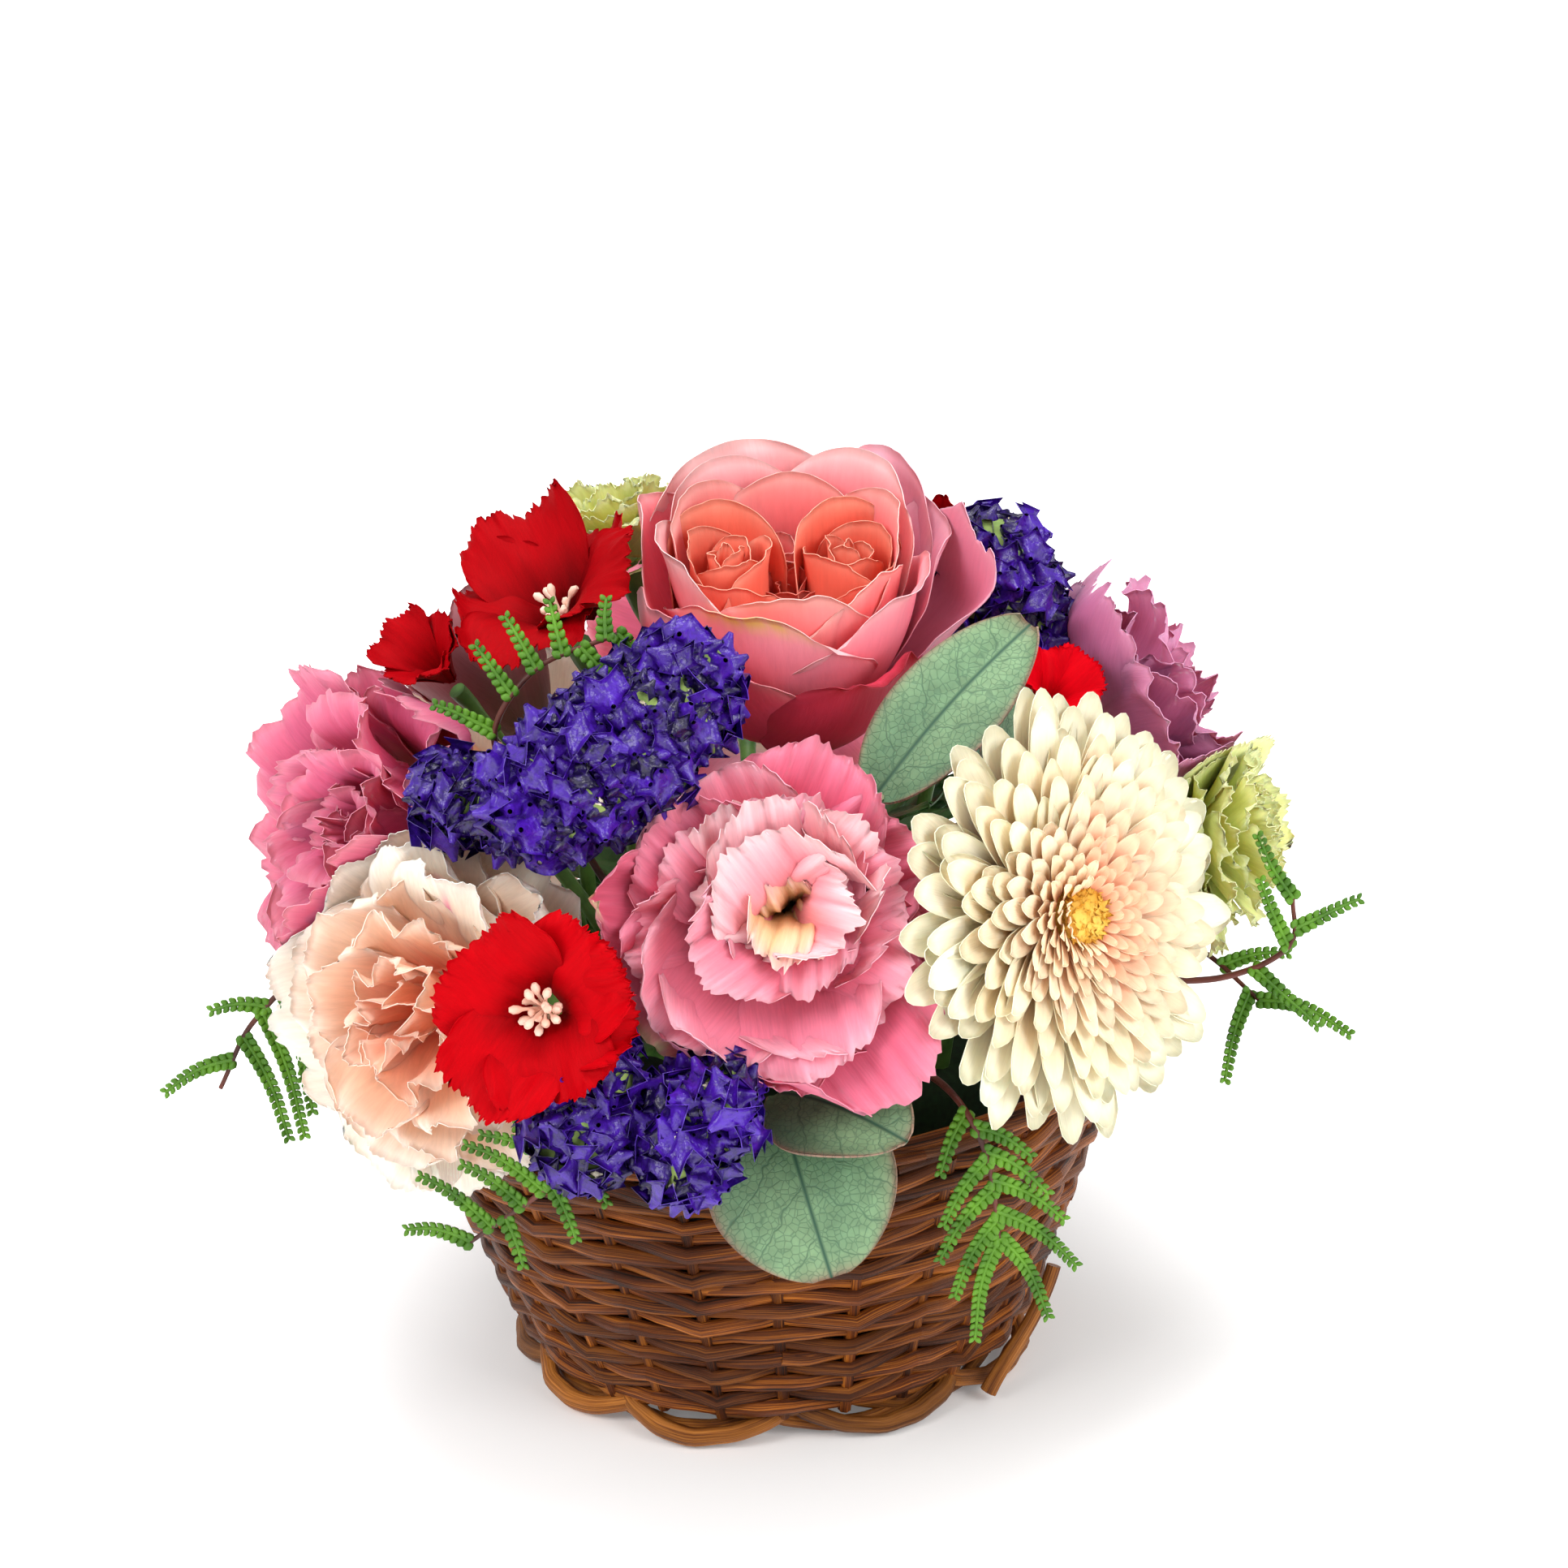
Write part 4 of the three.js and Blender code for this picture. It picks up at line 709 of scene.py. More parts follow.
def floret_shell(material):
    """One papery calyx: a small five-lobed funnel with a crumpled mouth, thin and closed."""
    around, levels = 15, ((0.3, -2.4), (0.9, -0.9), (2.0, 0.5), (3.0, 0.9))
    angle = np.linspace(0, 2 * math.pi, around, endpoint=False)
    points = []
    for side in (0, 1):
        for k, (r, z) in enumerate(levels):
            lobe = (k / 3) ** 2
            radius = r * (1 + 0.2 * lobe * np.cos(5 * angle))
            height = z + lobe * (0.9 * np.sin(10 * angle + 1) + 0.6 * np.cos(5 * angle)
                                 + 0.5 * np.sin(3 * angle + 2)) - 0.16 * side
            points.append(np.stack([radius * np.cos(angle), radius * np.sin(angle), height], axis=1))
    faces = []
    rows = len(levels)
    for k in range(rows - 1):
        faces += ring_quads(k * around, around)
        faces += [[b, a, d, c] for a, b, c, d in ring_quads((rows + k) * around, around)]
    faces += ring_quads(0, around, rows * around)
    faces += [quad[::-1] for quad in ring_quads((rows - 1) * around, around, rows * around)]
    return piece("floret_shell", np.concatenate(points), faces, material)


def crowd_tree():
    """Geometry nodes that crowd copies of a small shape over a surface, each a little
    different in turn and size."""
    tree, given = shape_tree("crowd", ("Shape", "Object"), ("Apart", "Float"), ("Size", "Float"),
                             ("Seed", "Int"))
    spots = node(tree, "GeometryNodeDistributePointsOnFaces",
                 {"Mesh": given.outputs["Geometry"], "Distance Min": given.outputs["Apart"],
                  "Density Max": 4000000.0, "Seed": given.outputs["Seed"]},
                 distribute_method="POISSON")
    shape = node(tree, "GeometryNodeObjectInfo", {"Object": given.outputs["Shape"]})
    lean = node(tree, "FunctionNodeRandomValue", {"Max": (0.8, 0.8, 6.28), "Min": (-0.8, -0.8, 0),
                                                  "Seed": given.outputs["Seed"]},
                data_type="FLOAT_VECTOR")
    turned = node(tree, "FunctionNodeRotateRotation",
                  {"Rotation": spots.outputs["Rotation"],
                   "Rotate By": node(tree, "FunctionNodeEulerToRotation",
                                     {"Euler": lean.outputs["Value"]}).outputs[0]},
                  rotation_space="LOCAL")
    amount = node(tree, "FunctionNodeRandomValue", {"Min": 0.65, "Max": 1.2}, data_type="FLOAT")
    size = node(tree, "ShaderNodeMath", {0: amount.outputs[1], 1: given.outputs["Size"]},
                operation="MULTIPLY")
    copies = node(tree, "GeometryNodeInstanceOnPoints",
                  {"Points": spots.outputs["Points"], "Instance": shape.outputs["Geometry"],
                   "Rotation": turned.outputs[0], "Scale": size.outputs[0]})
    draw = node(tree, "FunctionNodeRandomValue", {"Min": 0.0, "Max": 1.0}, data_type="FLOAT")
    marked = node(tree, "GeometryNodeStoreNamedAttribute",
                  {"Geometry": copies.outputs[0], "Name": "draw", "Value": draw.outputs[1]},
                  domain="INSTANCE")
    return hand_on(tree, given, marked)


def crepe(name, deep, bright):
    """Papery violet calyx: deep to bright violet from floret to floret, with a crumpled grain
    about 0.5 mm across and a dry, faintly silky surface."""
    material, tree, shader = finish(name, 0.32, Specular_IOR_Level=0.55)
    place = node(tree, "ShaderNodeTexCoord").outputs["Object"]
    fold = node(tree, "ShaderNodeTexNoise", {"Vector": place, "Scale": 900.0, "Detail": 3.0})
    draw = node(tree, "ShaderNodeAttribute", attribute_name="draw").outputs["Fac"]
    each = node(tree, "ShaderNodeMapRange", {"Value": draw, "To Min": -0.2, "To Max": 0.45})
    share = node(tree, "ShaderNodeMath", {0: fold.outputs["Fac"], 1: 0.9, 2: each.outputs[0]},
                 operation="MULTIPLY_ADD")
    ramp = node(tree, "ShaderNodeValToRGB", {"Fac": share.outputs[0]})
    ramp_ends(ramp, deep, bright, 0.3, 1.0)
    tree.links.new(ramp.outputs[0], shader.inputs["Base Color"])
    bump = node(tree, "ShaderNodeBump", {"Height": fold.outputs["Fac"], "Strength": 0.8,
                                         "Distance": 0.0004})
    tree.links.new(bump.outputs["Normal"], shader.inputs["Normal"])
    return material


def lump_surface(lumps, neck):
    """The surface on which a head's florets stand: rings along the chain of lumps."""
    centres = np.array([lump[:3] for lump in lumps], float)
    radii = np.array([lump[3] for lump in lumps]) * SWELL
    if len(centres) == 1:
        toward = (centres[0] - neck) * 0.25
        centres = np.array([centres[0] - toward, centres[0] + toward])
        radii = np.array([radii[0], radii[0]]) * 0.95
    steps = np.linspace(0, len(centres) - 1, 6 * len(centres))
    spine = np.stack([np.interp(steps, np.arange(len(centres)), centres[:, i]) for i in range(3)], 1)
    size = np.interp(steps, np.arange(len(centres)), radii)
    first, last = unit(centres[1] - centres[0]), unit(centres[-1] - centres[-2])
    caps = np.array([1.0, 0.86, 0.5])
    spine = np.vstack([centres[0] - first * radii[0] * caps[:, None], spine,
                       centres[-1] + last * radii[-1] * caps[::-1, None]])
    size = np.concatenate([radii[0] * np.sqrt(1.02 - caps ** 2), size,
                           radii[-1] * np.sqrt(1.02 - caps[::-1] ** 2)])
    over = unit(np.cross(last, UP))
    up_side = np.cross(over, last)
    angle = np.linspace(0, 2 * math.pi, HEAD_SIDES, endpoint=False)
    ring = np.cos(angle)[:, None] * over + np.sin(angle)[:, None] * up_side
    along = np.arange(len(spine))[:, None]
    uneven = 0.97 + 0.18 * np.sin(0.9 * along + 2 * angle) + 0.13 * np.sin(1.6 * along - 3 * angle + 1)
    points = (spine[:, None] + (size[:, None] * uneven)[..., None] * ring).reshape(-1, 3)
    faces = []
    for i in range(len(spine) - 1):
        faces += ring_quads(i * HEAD_SIDES, HEAD_SIDES)
    faces += [list(range(HEAD_SIDES))[::-1], list(range(len(points) - HEAD_SIDES, len(points)))]
    return points, faces


HEAD_SIDES = 20
SWELL = 0.95
FLORETS_APART, EYES_APART = 2.7 * MM, 9 * MM
violet_crepe = crepe("violet_crepe", "#100234", "#4814a8")
floret = floret_shell(violet_crepe)
corolla_cream = plant_skin("corolla_cream", "#f4ecd8", "#d8c8a8")
CROWD = crowd_tree()
hairy_green = plant_skin("hairy_green", "#9ab060", "#6f8a48", 0.8)
for index, (name, (lumps, neck, _)) in enumerate(STATICE.items()):
    points, faces = lump_surface(lumps, np.array(neck, float))
    core = piece(name + "_core", points, faces, hairy_green)
    head = grown(name + "_florets", core.data, CROWD, Shape=floret, Apart=FLORETS_APART,
                 Size=1.25, Seed=index, Finish=violet_crepe)
    eyes = grown(name + "_eyes", core.data, CROWD, Shape=floret, Apart=EYES_APART,
                 Size=0.34, Seed=index + 20, Finish=corolla_cream)
    for made in (core, head, eyes):
        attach(made, "root")
        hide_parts(name)
bpy.data.objects.remove(floret)

# ---------- eucalyptus ----------
# Round waxy grey-green leaves on thin stems, with a pale midrib, a fine net of veins and a
# reddish edge.

LEAF_ROWS, LEAF_COLUMNS = 36, 28
BLADE_THICK = 0.35


def eucalyptus_skin():
    """Eucalyptus leaf: a waxy bloom, so low gloss; pale midrib and side veins, and between
    them a net of fine veins about 1 mm apart. The tint gives the reddish edge."""
    material, tree, shader = finish("eucalyptus_leaf_skin", 0.55, Specular_IOR_Level=0.3,
                                    Subsurface_Weight=0.1, Subsurface_Scale=0.0008)
    tint = node(tree, "ShaderNodeAttribute", attribute_name="tint").outputs["Color"]
    grain = node(tree, "ShaderNodeAttribute", attribute_name="grain").outputs["Vector"]
    parts = node(tree, "ShaderNodeSeparateXYZ", {0: grain})
    aside = node(tree, "ShaderNodeMath", {0: parts.outputs[0]}, operation="ABSOLUTE")
    wobble = node(tree, "ShaderNodeTexNoise", {"Vector": grain, "Scale": 0.25, "Detail": 2.0})
    slanted = node(tree, "ShaderNodeMath", {0: aside.outputs[0], 1: -0.9, 2: parts.outputs[1]},
                   operation="MULTIPLY_ADD")
    bent = node(tree, "ShaderNodeMath", {0: wobble.outputs["Fac"], 1: 5.0, 2: slanted.outputs[0]},
                operation="MULTIPLY_ADD")
    phase = node(tree, "ShaderNodeMath", {0: bent.outputs[0], 1: 4.2}, operation="PINGPONG")
    rib_line = node(tree, "ShaderNodeMapRange", {"Value": phase.outputs[0], "From Min": 0.0,
                                                 "From Max": 0.3, "To Min": 0.7, "To Max": 0.0})
    midrib = node(tree, "ShaderNodeMapRange", {"Value": aside.outputs[0], "From Min": 0.1,
                                               "From Max": 0.55, "To Min": 1.0, "To Max": 0.0})
    mesh_net = node(tree, "ShaderNodeTexVoronoi", {"Vector": grain, "Scale": 0.85},
                    feature="DISTANCE_TO_EDGE")
    net = node(tree, "ShaderNodeMapRange", {"Value": mesh_net.outputs["Distance"], "From Min": 0.0,
                                            "From Max": 0.09, "To Min": 0.5, "To Max": 0.0})
    most = node(tree, "ShaderNodeMath", {0: rib_line.outputs[0], 1: midrib.outputs[0]},
                operation="MAXIMUM")
    veins = node(tree, "ShaderNodeMath", {0: most.outputs[0], 1: net.outputs[0]}, operation="MAXIMUM")
    fleck = node(tree, "ShaderNodeTexNoise", {"Vector": grain, "Scale": 0.35, "Detail": 4.0})
    level = node(tree, "ShaderNodeMapRange", {"Value": fleck.outputs["Fac"], "From Min": 0.3,
                                              "From Max": 0.7, "To Min": 0.82, "To Max": 1.12})
    base = node(tree, "ShaderNodeVectorMath", {0: tint, "Scale": level.outputs[0]}, operation="SCALE")
    mixed = node(tree, "ShaderNodeMix", {"Factor": veins.outputs[0]}, data_type="RGBA")
    tree.links.new(base.outputs[0], mixed.inputs[6])
    mixed.inputs[7].default_value = (*linear("#365844"), 1)
    tree.links.new(mixed.outputs[2], shader.inputs["Base Color"])
    bump = node(tree, "ShaderNodeBump", {"Height": veins.outputs[0], "Strength": 0.5,
                                         "Distance": 0.0002})
    bump.invert = True
    tree.links.new(bump.outputs["Normal"], shader.inputs["Normal"])
    return material


def eucalyptus_leaf(start, tip, face, half, seed):
    """One leaf's grid of points, its tint and its grain."""
    draw = np.random.default_rng(seed)
    start = np.array(start, float)
    along = np.array(tip) - start
    side = unit(np.cross(along, face))
    normal = unit(np.cross(side, along))
    u, v = np.meshgrid(np.linspace(0, 1, LEAF_ROWS + 1), np.linspace(-1, 1, LEAF_COLUMNS + 1),
                       indexing="ij")
    width = half * 1.04 * np.clip(np.sin(math.pi * (0.015 + 0.97 * u ** 0.92)), 0, 1) ** 0.52
    lift = (3 * np.sin(math.pi * u) + 1.3 * np.abs(v) ** 1.5
            + 0.7 * np.abs(v) ** 2 * np.sin(7 * u + 3 * v + draw.uniform(0, 6)))
    grid = (start + u[..., None] * along + (v * width)[..., None] * side + lift[..., None] * normal)
    edge = np.maximum(np.abs(v), 2 * u - 1) ** 14
    tint = linear_mix(linear("#648664"), linear("#7c9c74"), u + 0.3 * np.sin(5 * v))
    tint = linear_mix(tint, linear("#9a6a60"), 0.75 * edge)
    grain = np.stack([v * width, u * np.linalg.norm(along), 0 * u + seed], -1)
    return grid, tint.reshape(-1, 3), grain.reshape(-1, 3)


# Where each stem enters the foam, its end, and its leaves: base, tip, facing, half width.
EUCALYPTUS = {
    "eucalyptus_right": ((12, -18), (21, -47, 121),
                         (((20, -46, 120), (48, -31, 144), (-0.35, -0.8, 0.5), 9),)),
    "eucalyptus_front": ((8, -36), (3, -64, 76),
                         (((2, -63, 76), (22, -82, 75), (-0.2, -0.5, 0.85), 10.5),
                          ((2, -64, 75), (9, -79, 50), (0.1, -0.97, -0.2), 15))),
    "eucalyptus_back": ((30, 14), (48, 44, 92),
                        (((46, 42, 91), (70, 56, 112), (0.5, 0.6, 0.6), 12),
                         ((46, 42, 90), (58, 82, 82), (0.4, 0.6, 0.7), 14))),
}
leaf_skin = eucalyptus_skin()
twig_skin = plant_skin("twig_skin", "#8a9a70", "#7a6a50")
for index, (name, (entry, end, leaves)) in enumerate(EUCALYPTUS.items()):
    end = np.array(end, float)
    path = stem_path(entry, end, unit(end - [entry[0], entry[1], FOAM_TOP]))
    twig = rods(name + "_twig", [path], [np.full(len(path), 1.0)], twig_skin, 8)
    made = [eucalyptus_leaf(*leaf, seed=10 * index + i) for i, leaf in enumerate(leaves)]
    points, faces, cut = sheets([grid for grid, _, _ in made], BLADE_THICK)
    blades = piece(name + "_leaves", points, faces, leaf_skin,
                   np.concatenate([tint for _, tint, _ in made for _ in (0, 1)]),
                   np.concatenate([grain for _, _, grain in made for _ in (0, 1)]), cut)
    for part in (twig, blades):
        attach(part, "root")
        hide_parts(name)

# ---------- coral fern ----------
# Fronds of coral fern: a thin, curly, dark brown rib with leaflets that are rows of small
# rounded green lobes, like strings of beads.


def bead_tree():
    """Geometry nodes that set a pair of small lobes at equal steps along every line."""
    tree, given = shape_tree("beaded_leaflets", ("Lobe", "Object"), ("Step", "Float"))
    line = node(tree, "GeometryNodeMeshToCurve", {"Mesh": given.outputs["Geometry"]})
    even = node(tree, "GeometryNodeResampleCurve", {"Curve": line.outputs[0],
                                                    "Length": given.outputs["Step"]}, mode="LENGTH")
    tangent = node(tree, "GeometryNodeInputTangent").outputs[0]
    over = node(tree, "GeometryNodeInputNamedAttribute", {"Name": "over"},
                data_type="FLOAT_VECTOR").outputs["Attribute"]
    turned = node(tree, "FunctionNodeAxesToRotation", {"Primary Axis": tangent,
                                                       "Secondary Axis": over},
                  primary_axis="X", secondary_axis="Y")
    place = node(tree, "GeometryNodeSplineParameter").outputs["Factor"]
    taper = node(tree, "ShaderNodeMapRange", {"Value": place, "From Min": 0.0, "From Max": 1.0,
                                              "To Min": 1.0, "To Max": 0.65})
    lobe = node(tree, "GeometryNodeObjectInfo", {"Object": given.outputs["Lobe"]})
    copies = node(tree, "GeometryNodeInstanceOnPoints",
                  {"Points": even.outputs[0], "Instance": lobe.outputs["Geometry"],
                   "Rotation": turned.outputs[0], "Scale": taper.outputs[0]})
    return hand_on(tree, given, copies)


def lobe_pair(material):
    """Two rounded lobes, one to each side of a leaflet's midrib, curling a little down."""
    points, faces = [], []
    around, levels = 6, (0.3, 0.9, 1.0, 0.85, 0.0)
    for hand in (-1, 1):
        first = len(points)
        for k, size in enumerate(levels):
            for i in range(around):
                angle = 2 * math.pi * i / around
                y = hand * (0.0, 0.45, 0.95, 1.4, 1.62)[k]
                points.append((0.84 * size * math.cos(angle) + 0.1 * k, y,
                               0.6 * size * math.sin(angle) - 0.05 * k * k))
        for k in range(len(levels) - 1):
            for i in range(around):
                a, b = first + k * around + i, first + k * around + (i + 1) % around
                quad = (a, b, b + around, a + around)
                faces.append(quad if hand == -1 else quad[::-1])
    return piece("lobe_pair", np.array(points), faces, material)


def smooth_path(corners, count):
    """Points along a smooth curve through corner points, with its tangents."""
    corners = np.array(corners, float)
    ends = np.vstack([2 * corners[0] - corners[1], corners, 2 * corners[-1] - corners[-2]])
    t = np.linspace(0, len(corners) - 1, count)
    i = np.minimum(t.astype(int), len(corners) - 2)
    f = (t - i)[:, None]
    p0, p1, p2, p3 = (ends[i + k] for k in range(4))
    return 0.5 * (2 * p1 + (p2 - p0) * f + (2 * p0 - 5 * p1 + 4 * p2 - p3) * f * f
                  + (3 * p1 - p0 - 3 * p2 + p3) * f ** 3)


# Where each frond enters the foam, its rib, the way its face looks, and its leaflets as
# place along the rib, side, length and angle from the rib.
FERNS = {
    "fern_left": ((-36, -18), ((-60, -20, 76), (-76, -24, 86), (-88, -26, 78), (-95, -27, 66)),
                  (0.1, -0.95, 0.3), ((0.52, -1, 17, 70), (0.62, -1, 20, 62), (0.72, -1, 21, 60),
                  (0.82, -1, 18, 55), (0.7, 1, 10, 55), (0.9, 1, 13, 50))),
    "fern_right": ((39, -20), ((62, -26, 76), (80, -30, 78), (91, -32, 84), (92, -30, 92)),
                   (0.2, -0.9, 0.35), ((0.6, 1, 14, 60), (0.75, -1, 16, 60), (0.85, 1, 14, 60),
                   (1, -1, 15, 30))),
    "fern_right_low": ((40, 6), ((62, 8, 76), (78, -6, 74), (88, -18, 68)),
                       (0.2, -0.9, 0.35), ((0.6, 1, 12, 60), (0.8, -1, 13, 65), (0.95, 1, 16, 60),
                       (1, -1, 17, 30))),
    "fern_front_left": ((-20, -36), ((-26, -68, 75), (-35, -75, 68), (-50, -67, 54)),
                        (-0.3, -0.9, 0.1), ((0.42, 1, 12, 80), (0.5, 1, 13, 80), (0.55, -1, 8, 80),
                        (0.6, 1, 17, 75), (0.68, -1, 9, 75), (0.72, 1, 17, 75), (0.8, 1, 14, 75),
                        (0.86, -1, 8, 70), (0.92, 1, 17, 75), (1, 1, 13, 50))),
    "fern_front_right": ((22, -34), ((30, -66, 76), (35, -73, 68), (37, -72, 52)),
                         (0.1, -0.97, 0.1), ((0.45, 1, 10, 60), (0.55, -1, 10, 45), (0.66, -1, 12, 45),
                         (0.7, 1, 12, 55), (0.78, -1, 14, 55), (0.82, 1, 14, 50), (0.9, -1, 17, 50),
                         (0.94, 1, 14, 40), (1, -1, 16, 25), (1, 1, 17, 25))),
    "fern_upper_left": ((-10, -26), ((-32, -38, 118), (-41, -48, 134), (-34, -48, 146), (-20, -46, 151)),
                        (-0.1, -0.9, 0.4), ((0.55, -1, 12, 70), (0.66, -1, 12, 70), (0.76, -1, 12, 80),
                        (0.84, -1, 11, 80), (0.9, 1, 8, 60), (0.96, -1, 8, 70), (1, 1, 7, 60))),
}
fern_green = plant_skin("fern_green", "#5e9020", "#38640e", 0.5)
rib_brown = plant_skin("rib_brown", "#6a3428", "#3c1a14", 0.45)
lobe = lobe_pair(fern_green)
BEADS = bead_tree()
RIB_POINTS, LINE_POINTS, BEADS_APART = 60, 12, 1.3 * MM
for name, (entry, path, look, leaflets) in FERNS.items():
    rib = smooth_path([(entry[0], entry[1], FOAM_TOP + 6), *path], RIB_POINTS)
    tangents = np.gradient(rib, axis=0)
    lines, overs, edges = [], [], []
    for t, side, length, angle in leaflets:
        k = round(t * (RIB_POINTS - 1))
        ahead = unit(tangents[k])
        over = unit(np.cross(ahead, unit(look))) * side
        toward = ahead * math.cos(math.radians(angle)) + over * math.sin(math.radians(angle))
        s = np.linspace(0, 1, LINE_POINTS)[:, None]
        line = (rib[k] + toward * length * s - UP * 0.16 * length * s * s
                + over * 0.05 * length * np.sin(4 * s))
        first = LINE_POINTS * len(lines)
        edges += [(first + i, first + i + 1) for i in range(LINE_POINTS - 1)]
        lines.append(line)
        overs.append(np.broadcast_to(unit(np.cross(toward, unit(look))), line.shape))
    mesh = bpy.data.meshes.new(name + "_lines")
    mesh.from_pydata((np.concatenate(lines) * MM).tolist(), edges, [])
    mesh.attributes.new("over", "FLOAT_VECTOR", "POINT").data.foreach_set(
        "vector", np.concatenate(overs).ravel())
    green = grown(name + "_leaflets", mesh, BEADS, Lobe=lobe, Step=BEADS_APART, Finish=fern_green)
    inside = stem_path(entry, rib[6], unit(tangents[6]), 8)
    stalk = np.vstack([inside, rib[7:]])
    brown = rods(name + "_rib", [stalk], [np.linspace(0.75, 0.4, len(stalk))], rib_brown, 6)
    midribs = rods(name + "_midribs", lines, [np.linspace(0.5, 0.3, LINE_POINTS)] * len(lines),
                   fern_green, 6)
    for part in (green, brown, midribs):
        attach(part, "root")
        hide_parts(name)
bpy.data.objects.remove(lobe)

# ---------- petals ----------
# Every flower is whorls of thin petals round its own axis. A petal follows a curved rib from
# its claw to its tip, is cupped across, frilled towards its edge, and bends away where it
# meets a neighbouring flower or the basket's rim.

PETAL = dict(count=5, turn=0, angles=None, off=(0, 0), r0=2, h0=0, length=30, half=12, out0=20,
             out1=60, bend=1, lip=0, lip_from=0.7, cup0=10, cup1=30, claw=0.35, drop=0.15, tip=0.7,
             point=0.0, ruffle=0, waves=3, skew=0.5, spread=1.3, start=0.0, frill=0.0, frills=8,
             fine=4.0, teeth=0, tooth=0.0, swell=0.3, rows=24, columns=40, loose=0.05,
             colors=("#ffffff", "#ffffff", "#ffffff"), margin=3.0, marks=(), free=())
THICK = 0.16
ROOM_SOFT = 4.0
ROOM_GAP = -1.2
FORWARD = 0.55
HANG_RADIUS, HANG_FROM, HANG_OVER = RIM_RADIUS + 5, 84.0, 14.0


def whorls_of(keys, table, **shared):
    """Whorls from lines of values under their keys, with the values that they share."""
    return [{**shared, **dict(zip(keys.split(), line))} for line in table]


def keep_in_room(points, bloom, free):
    """Bends points away from the planes shared with neighbours, and out over the rim."""
    for _ in range(2):
        for normal, reach, owner in bloom.walls:
            if owner in free:
                continue
            past = np.maximum(points @ normal - reach + ROOM_SOFT + ROOM_GAP, 0)
            moved = past - ROOM_SOFT * (1 - np.exp(-past / ROOM_SOFT))
            turned_up = unit(bloom.a - normal * (bloom.a @ normal))
            points = points + moved[..., None] * (FORWARD * turned_up - normal)
    radius = np.hypot(points[..., 0], points[..., 1])
    low = np.clip((HANG_FROM - points[..., 2]) / HANG_OVER, 0, 1)
    near = (radius > FOAM_RADIUS) & (radius < HANG_RADIUS)
    out = np.where(near, 1 + low * (HANG_RADIUS / np.maximum(radius, 1) - 1), 1)
    return points * np.stack([out, out, np.ones_like(out)], axis=-1)


def ripple(q, waves, draw):
    """An uneven ripple along q, from sines with drawn phases."""
    total = 0
    for share, factor in ((0.62, 1.0), (0.36, 1.83), (0.2, 3.1)):
        total = total + share * np.sin(math.pi * waves * factor * q + draw.uniform(0, 6.28))
    return total


def petal(bloom, whorl, k, draw):
    """One petal of a whorl as points in mm, with u along it, v across it, and its edge share."""
    w = {**PETAL, **whorl}
    angles = w["angles"] or [w["turn"] + 360 * i / w["count"] for i in range(w["count"])]
    length = w["length"] * (1 + w["loose"] * draw.standard_normal())
    lean = 60 * w["loose"] * draw.standard_normal() * 0.6
    steps = np.linspace(0, 1.02, 97)
    middle = (steps[1:] + steps[:-1]) / 2
    lip = np.maximum(0, (middle - w["lip_from"]) / (1 - w["lip_from"]))
    bent = np.radians(w["out0"] + (w["out1"] - w["out0"]) * middle ** w["bend"]
                      + w["lip"] * lip * lip + lean * middle)
    gap = steps[1] * length
    out_table = w["r0"] + np.concatenate([[0], np.cumsum(np.sin(bent) * gap)])
    up_table = w["h0"] + np.concatenate([[0], np.cumsum(np.cos(bent) * gap)])
    u, v = np.meshgrid(np.linspace(w["start"], 1, w["rows"] + 1),
                       np.linspace(-1, 1, w["columns"] + 1), indexing="ij")
    around = v * (1 + 1.3 * (1 - u))
    saw = 0.0
    if w["tooth"]:
        jag = ripple(around, w["teeth"], draw) + 0.5 * np.sin(math.pi * w["teeth"] * 2.3 * around)
        saw = w["tooth"] * (0.5 + 0.5 * jag) * np.clip((u - 0.55) / 0.45, 0, 1) ** 2
    reach = u * (1 - w["drop"] * v * v * u - w["point"] * np.abs(v) * u) - saw
    out = np.interp(reach, steps, out_table)
    rise = np.interp(reach, steps, up_table)
    angle = np.interp(reach, middle, bent)
    fan = w["claw"] + (1 - w["claw"]) * np.sin(math.pi / 2 * np.minimum(1, u / 0.62))
    end = np.maximum(0, (u - 0.62) / 0.38)
    share = w["spread"] * math.pi * np.maximum(out, 0.4) / len(angles)
    half = np.minimum(w["half"] * fan, share) * np.sqrt(1 - (1 - w["tip"] ** 2) * end * end)
    cup = w["cup0"] + (w["cup1"] - w["cup0"]) * u
    turn = v * half / cup
    edge = np.maximum(u * u, np.abs(v) * u)
    rim = 1 - (1 - u ** 2.4) * (1 - np.abs(v) ** 4 * np.minimum(1, 1.5 * u))
    wave = w["ruffle"] * edge * edge * np.sin(w["waves"] * math.pi * v + 2.4 * k + w["turn"])
    wave = wave + w["frill"] * rim ** w["fine"] * ripple(around, w["frills"], draw)
    wave = wave + w["swell"] * u * ripple(v + 0.4 * u, 1.3, draw) * ripple(u - 0.3 * v, 1.7, draw)
    inward = cup * (1 - np.cos(turn)) + wave - w["skew"] * v * np.minimum(1, 2 * u)
    swing = math.radians(angles[k] + bloom.turn + 60 * w["loose"] * draw.standard_normal())
    outward = bloom.top * math.cos(swing) + bloom.left * math.sin(swing)
    side = np.cross(bloom.a, outward)
    centre = bloom.base + (bloom.top * w["off"][0] + bloom.left * w["off"][1]) * bloom.size
    points = centre + bloom.size * (
        (out - np.cos(angle) * inward)[..., None] * outward
        + (rise + np.sin(angle) * inward)[..., None] * bloom.a
        + (cup * np.sin(turn))[..., None] * side)
    return keep_in_room(points, bloom, w["free"]), u, v, rim, half


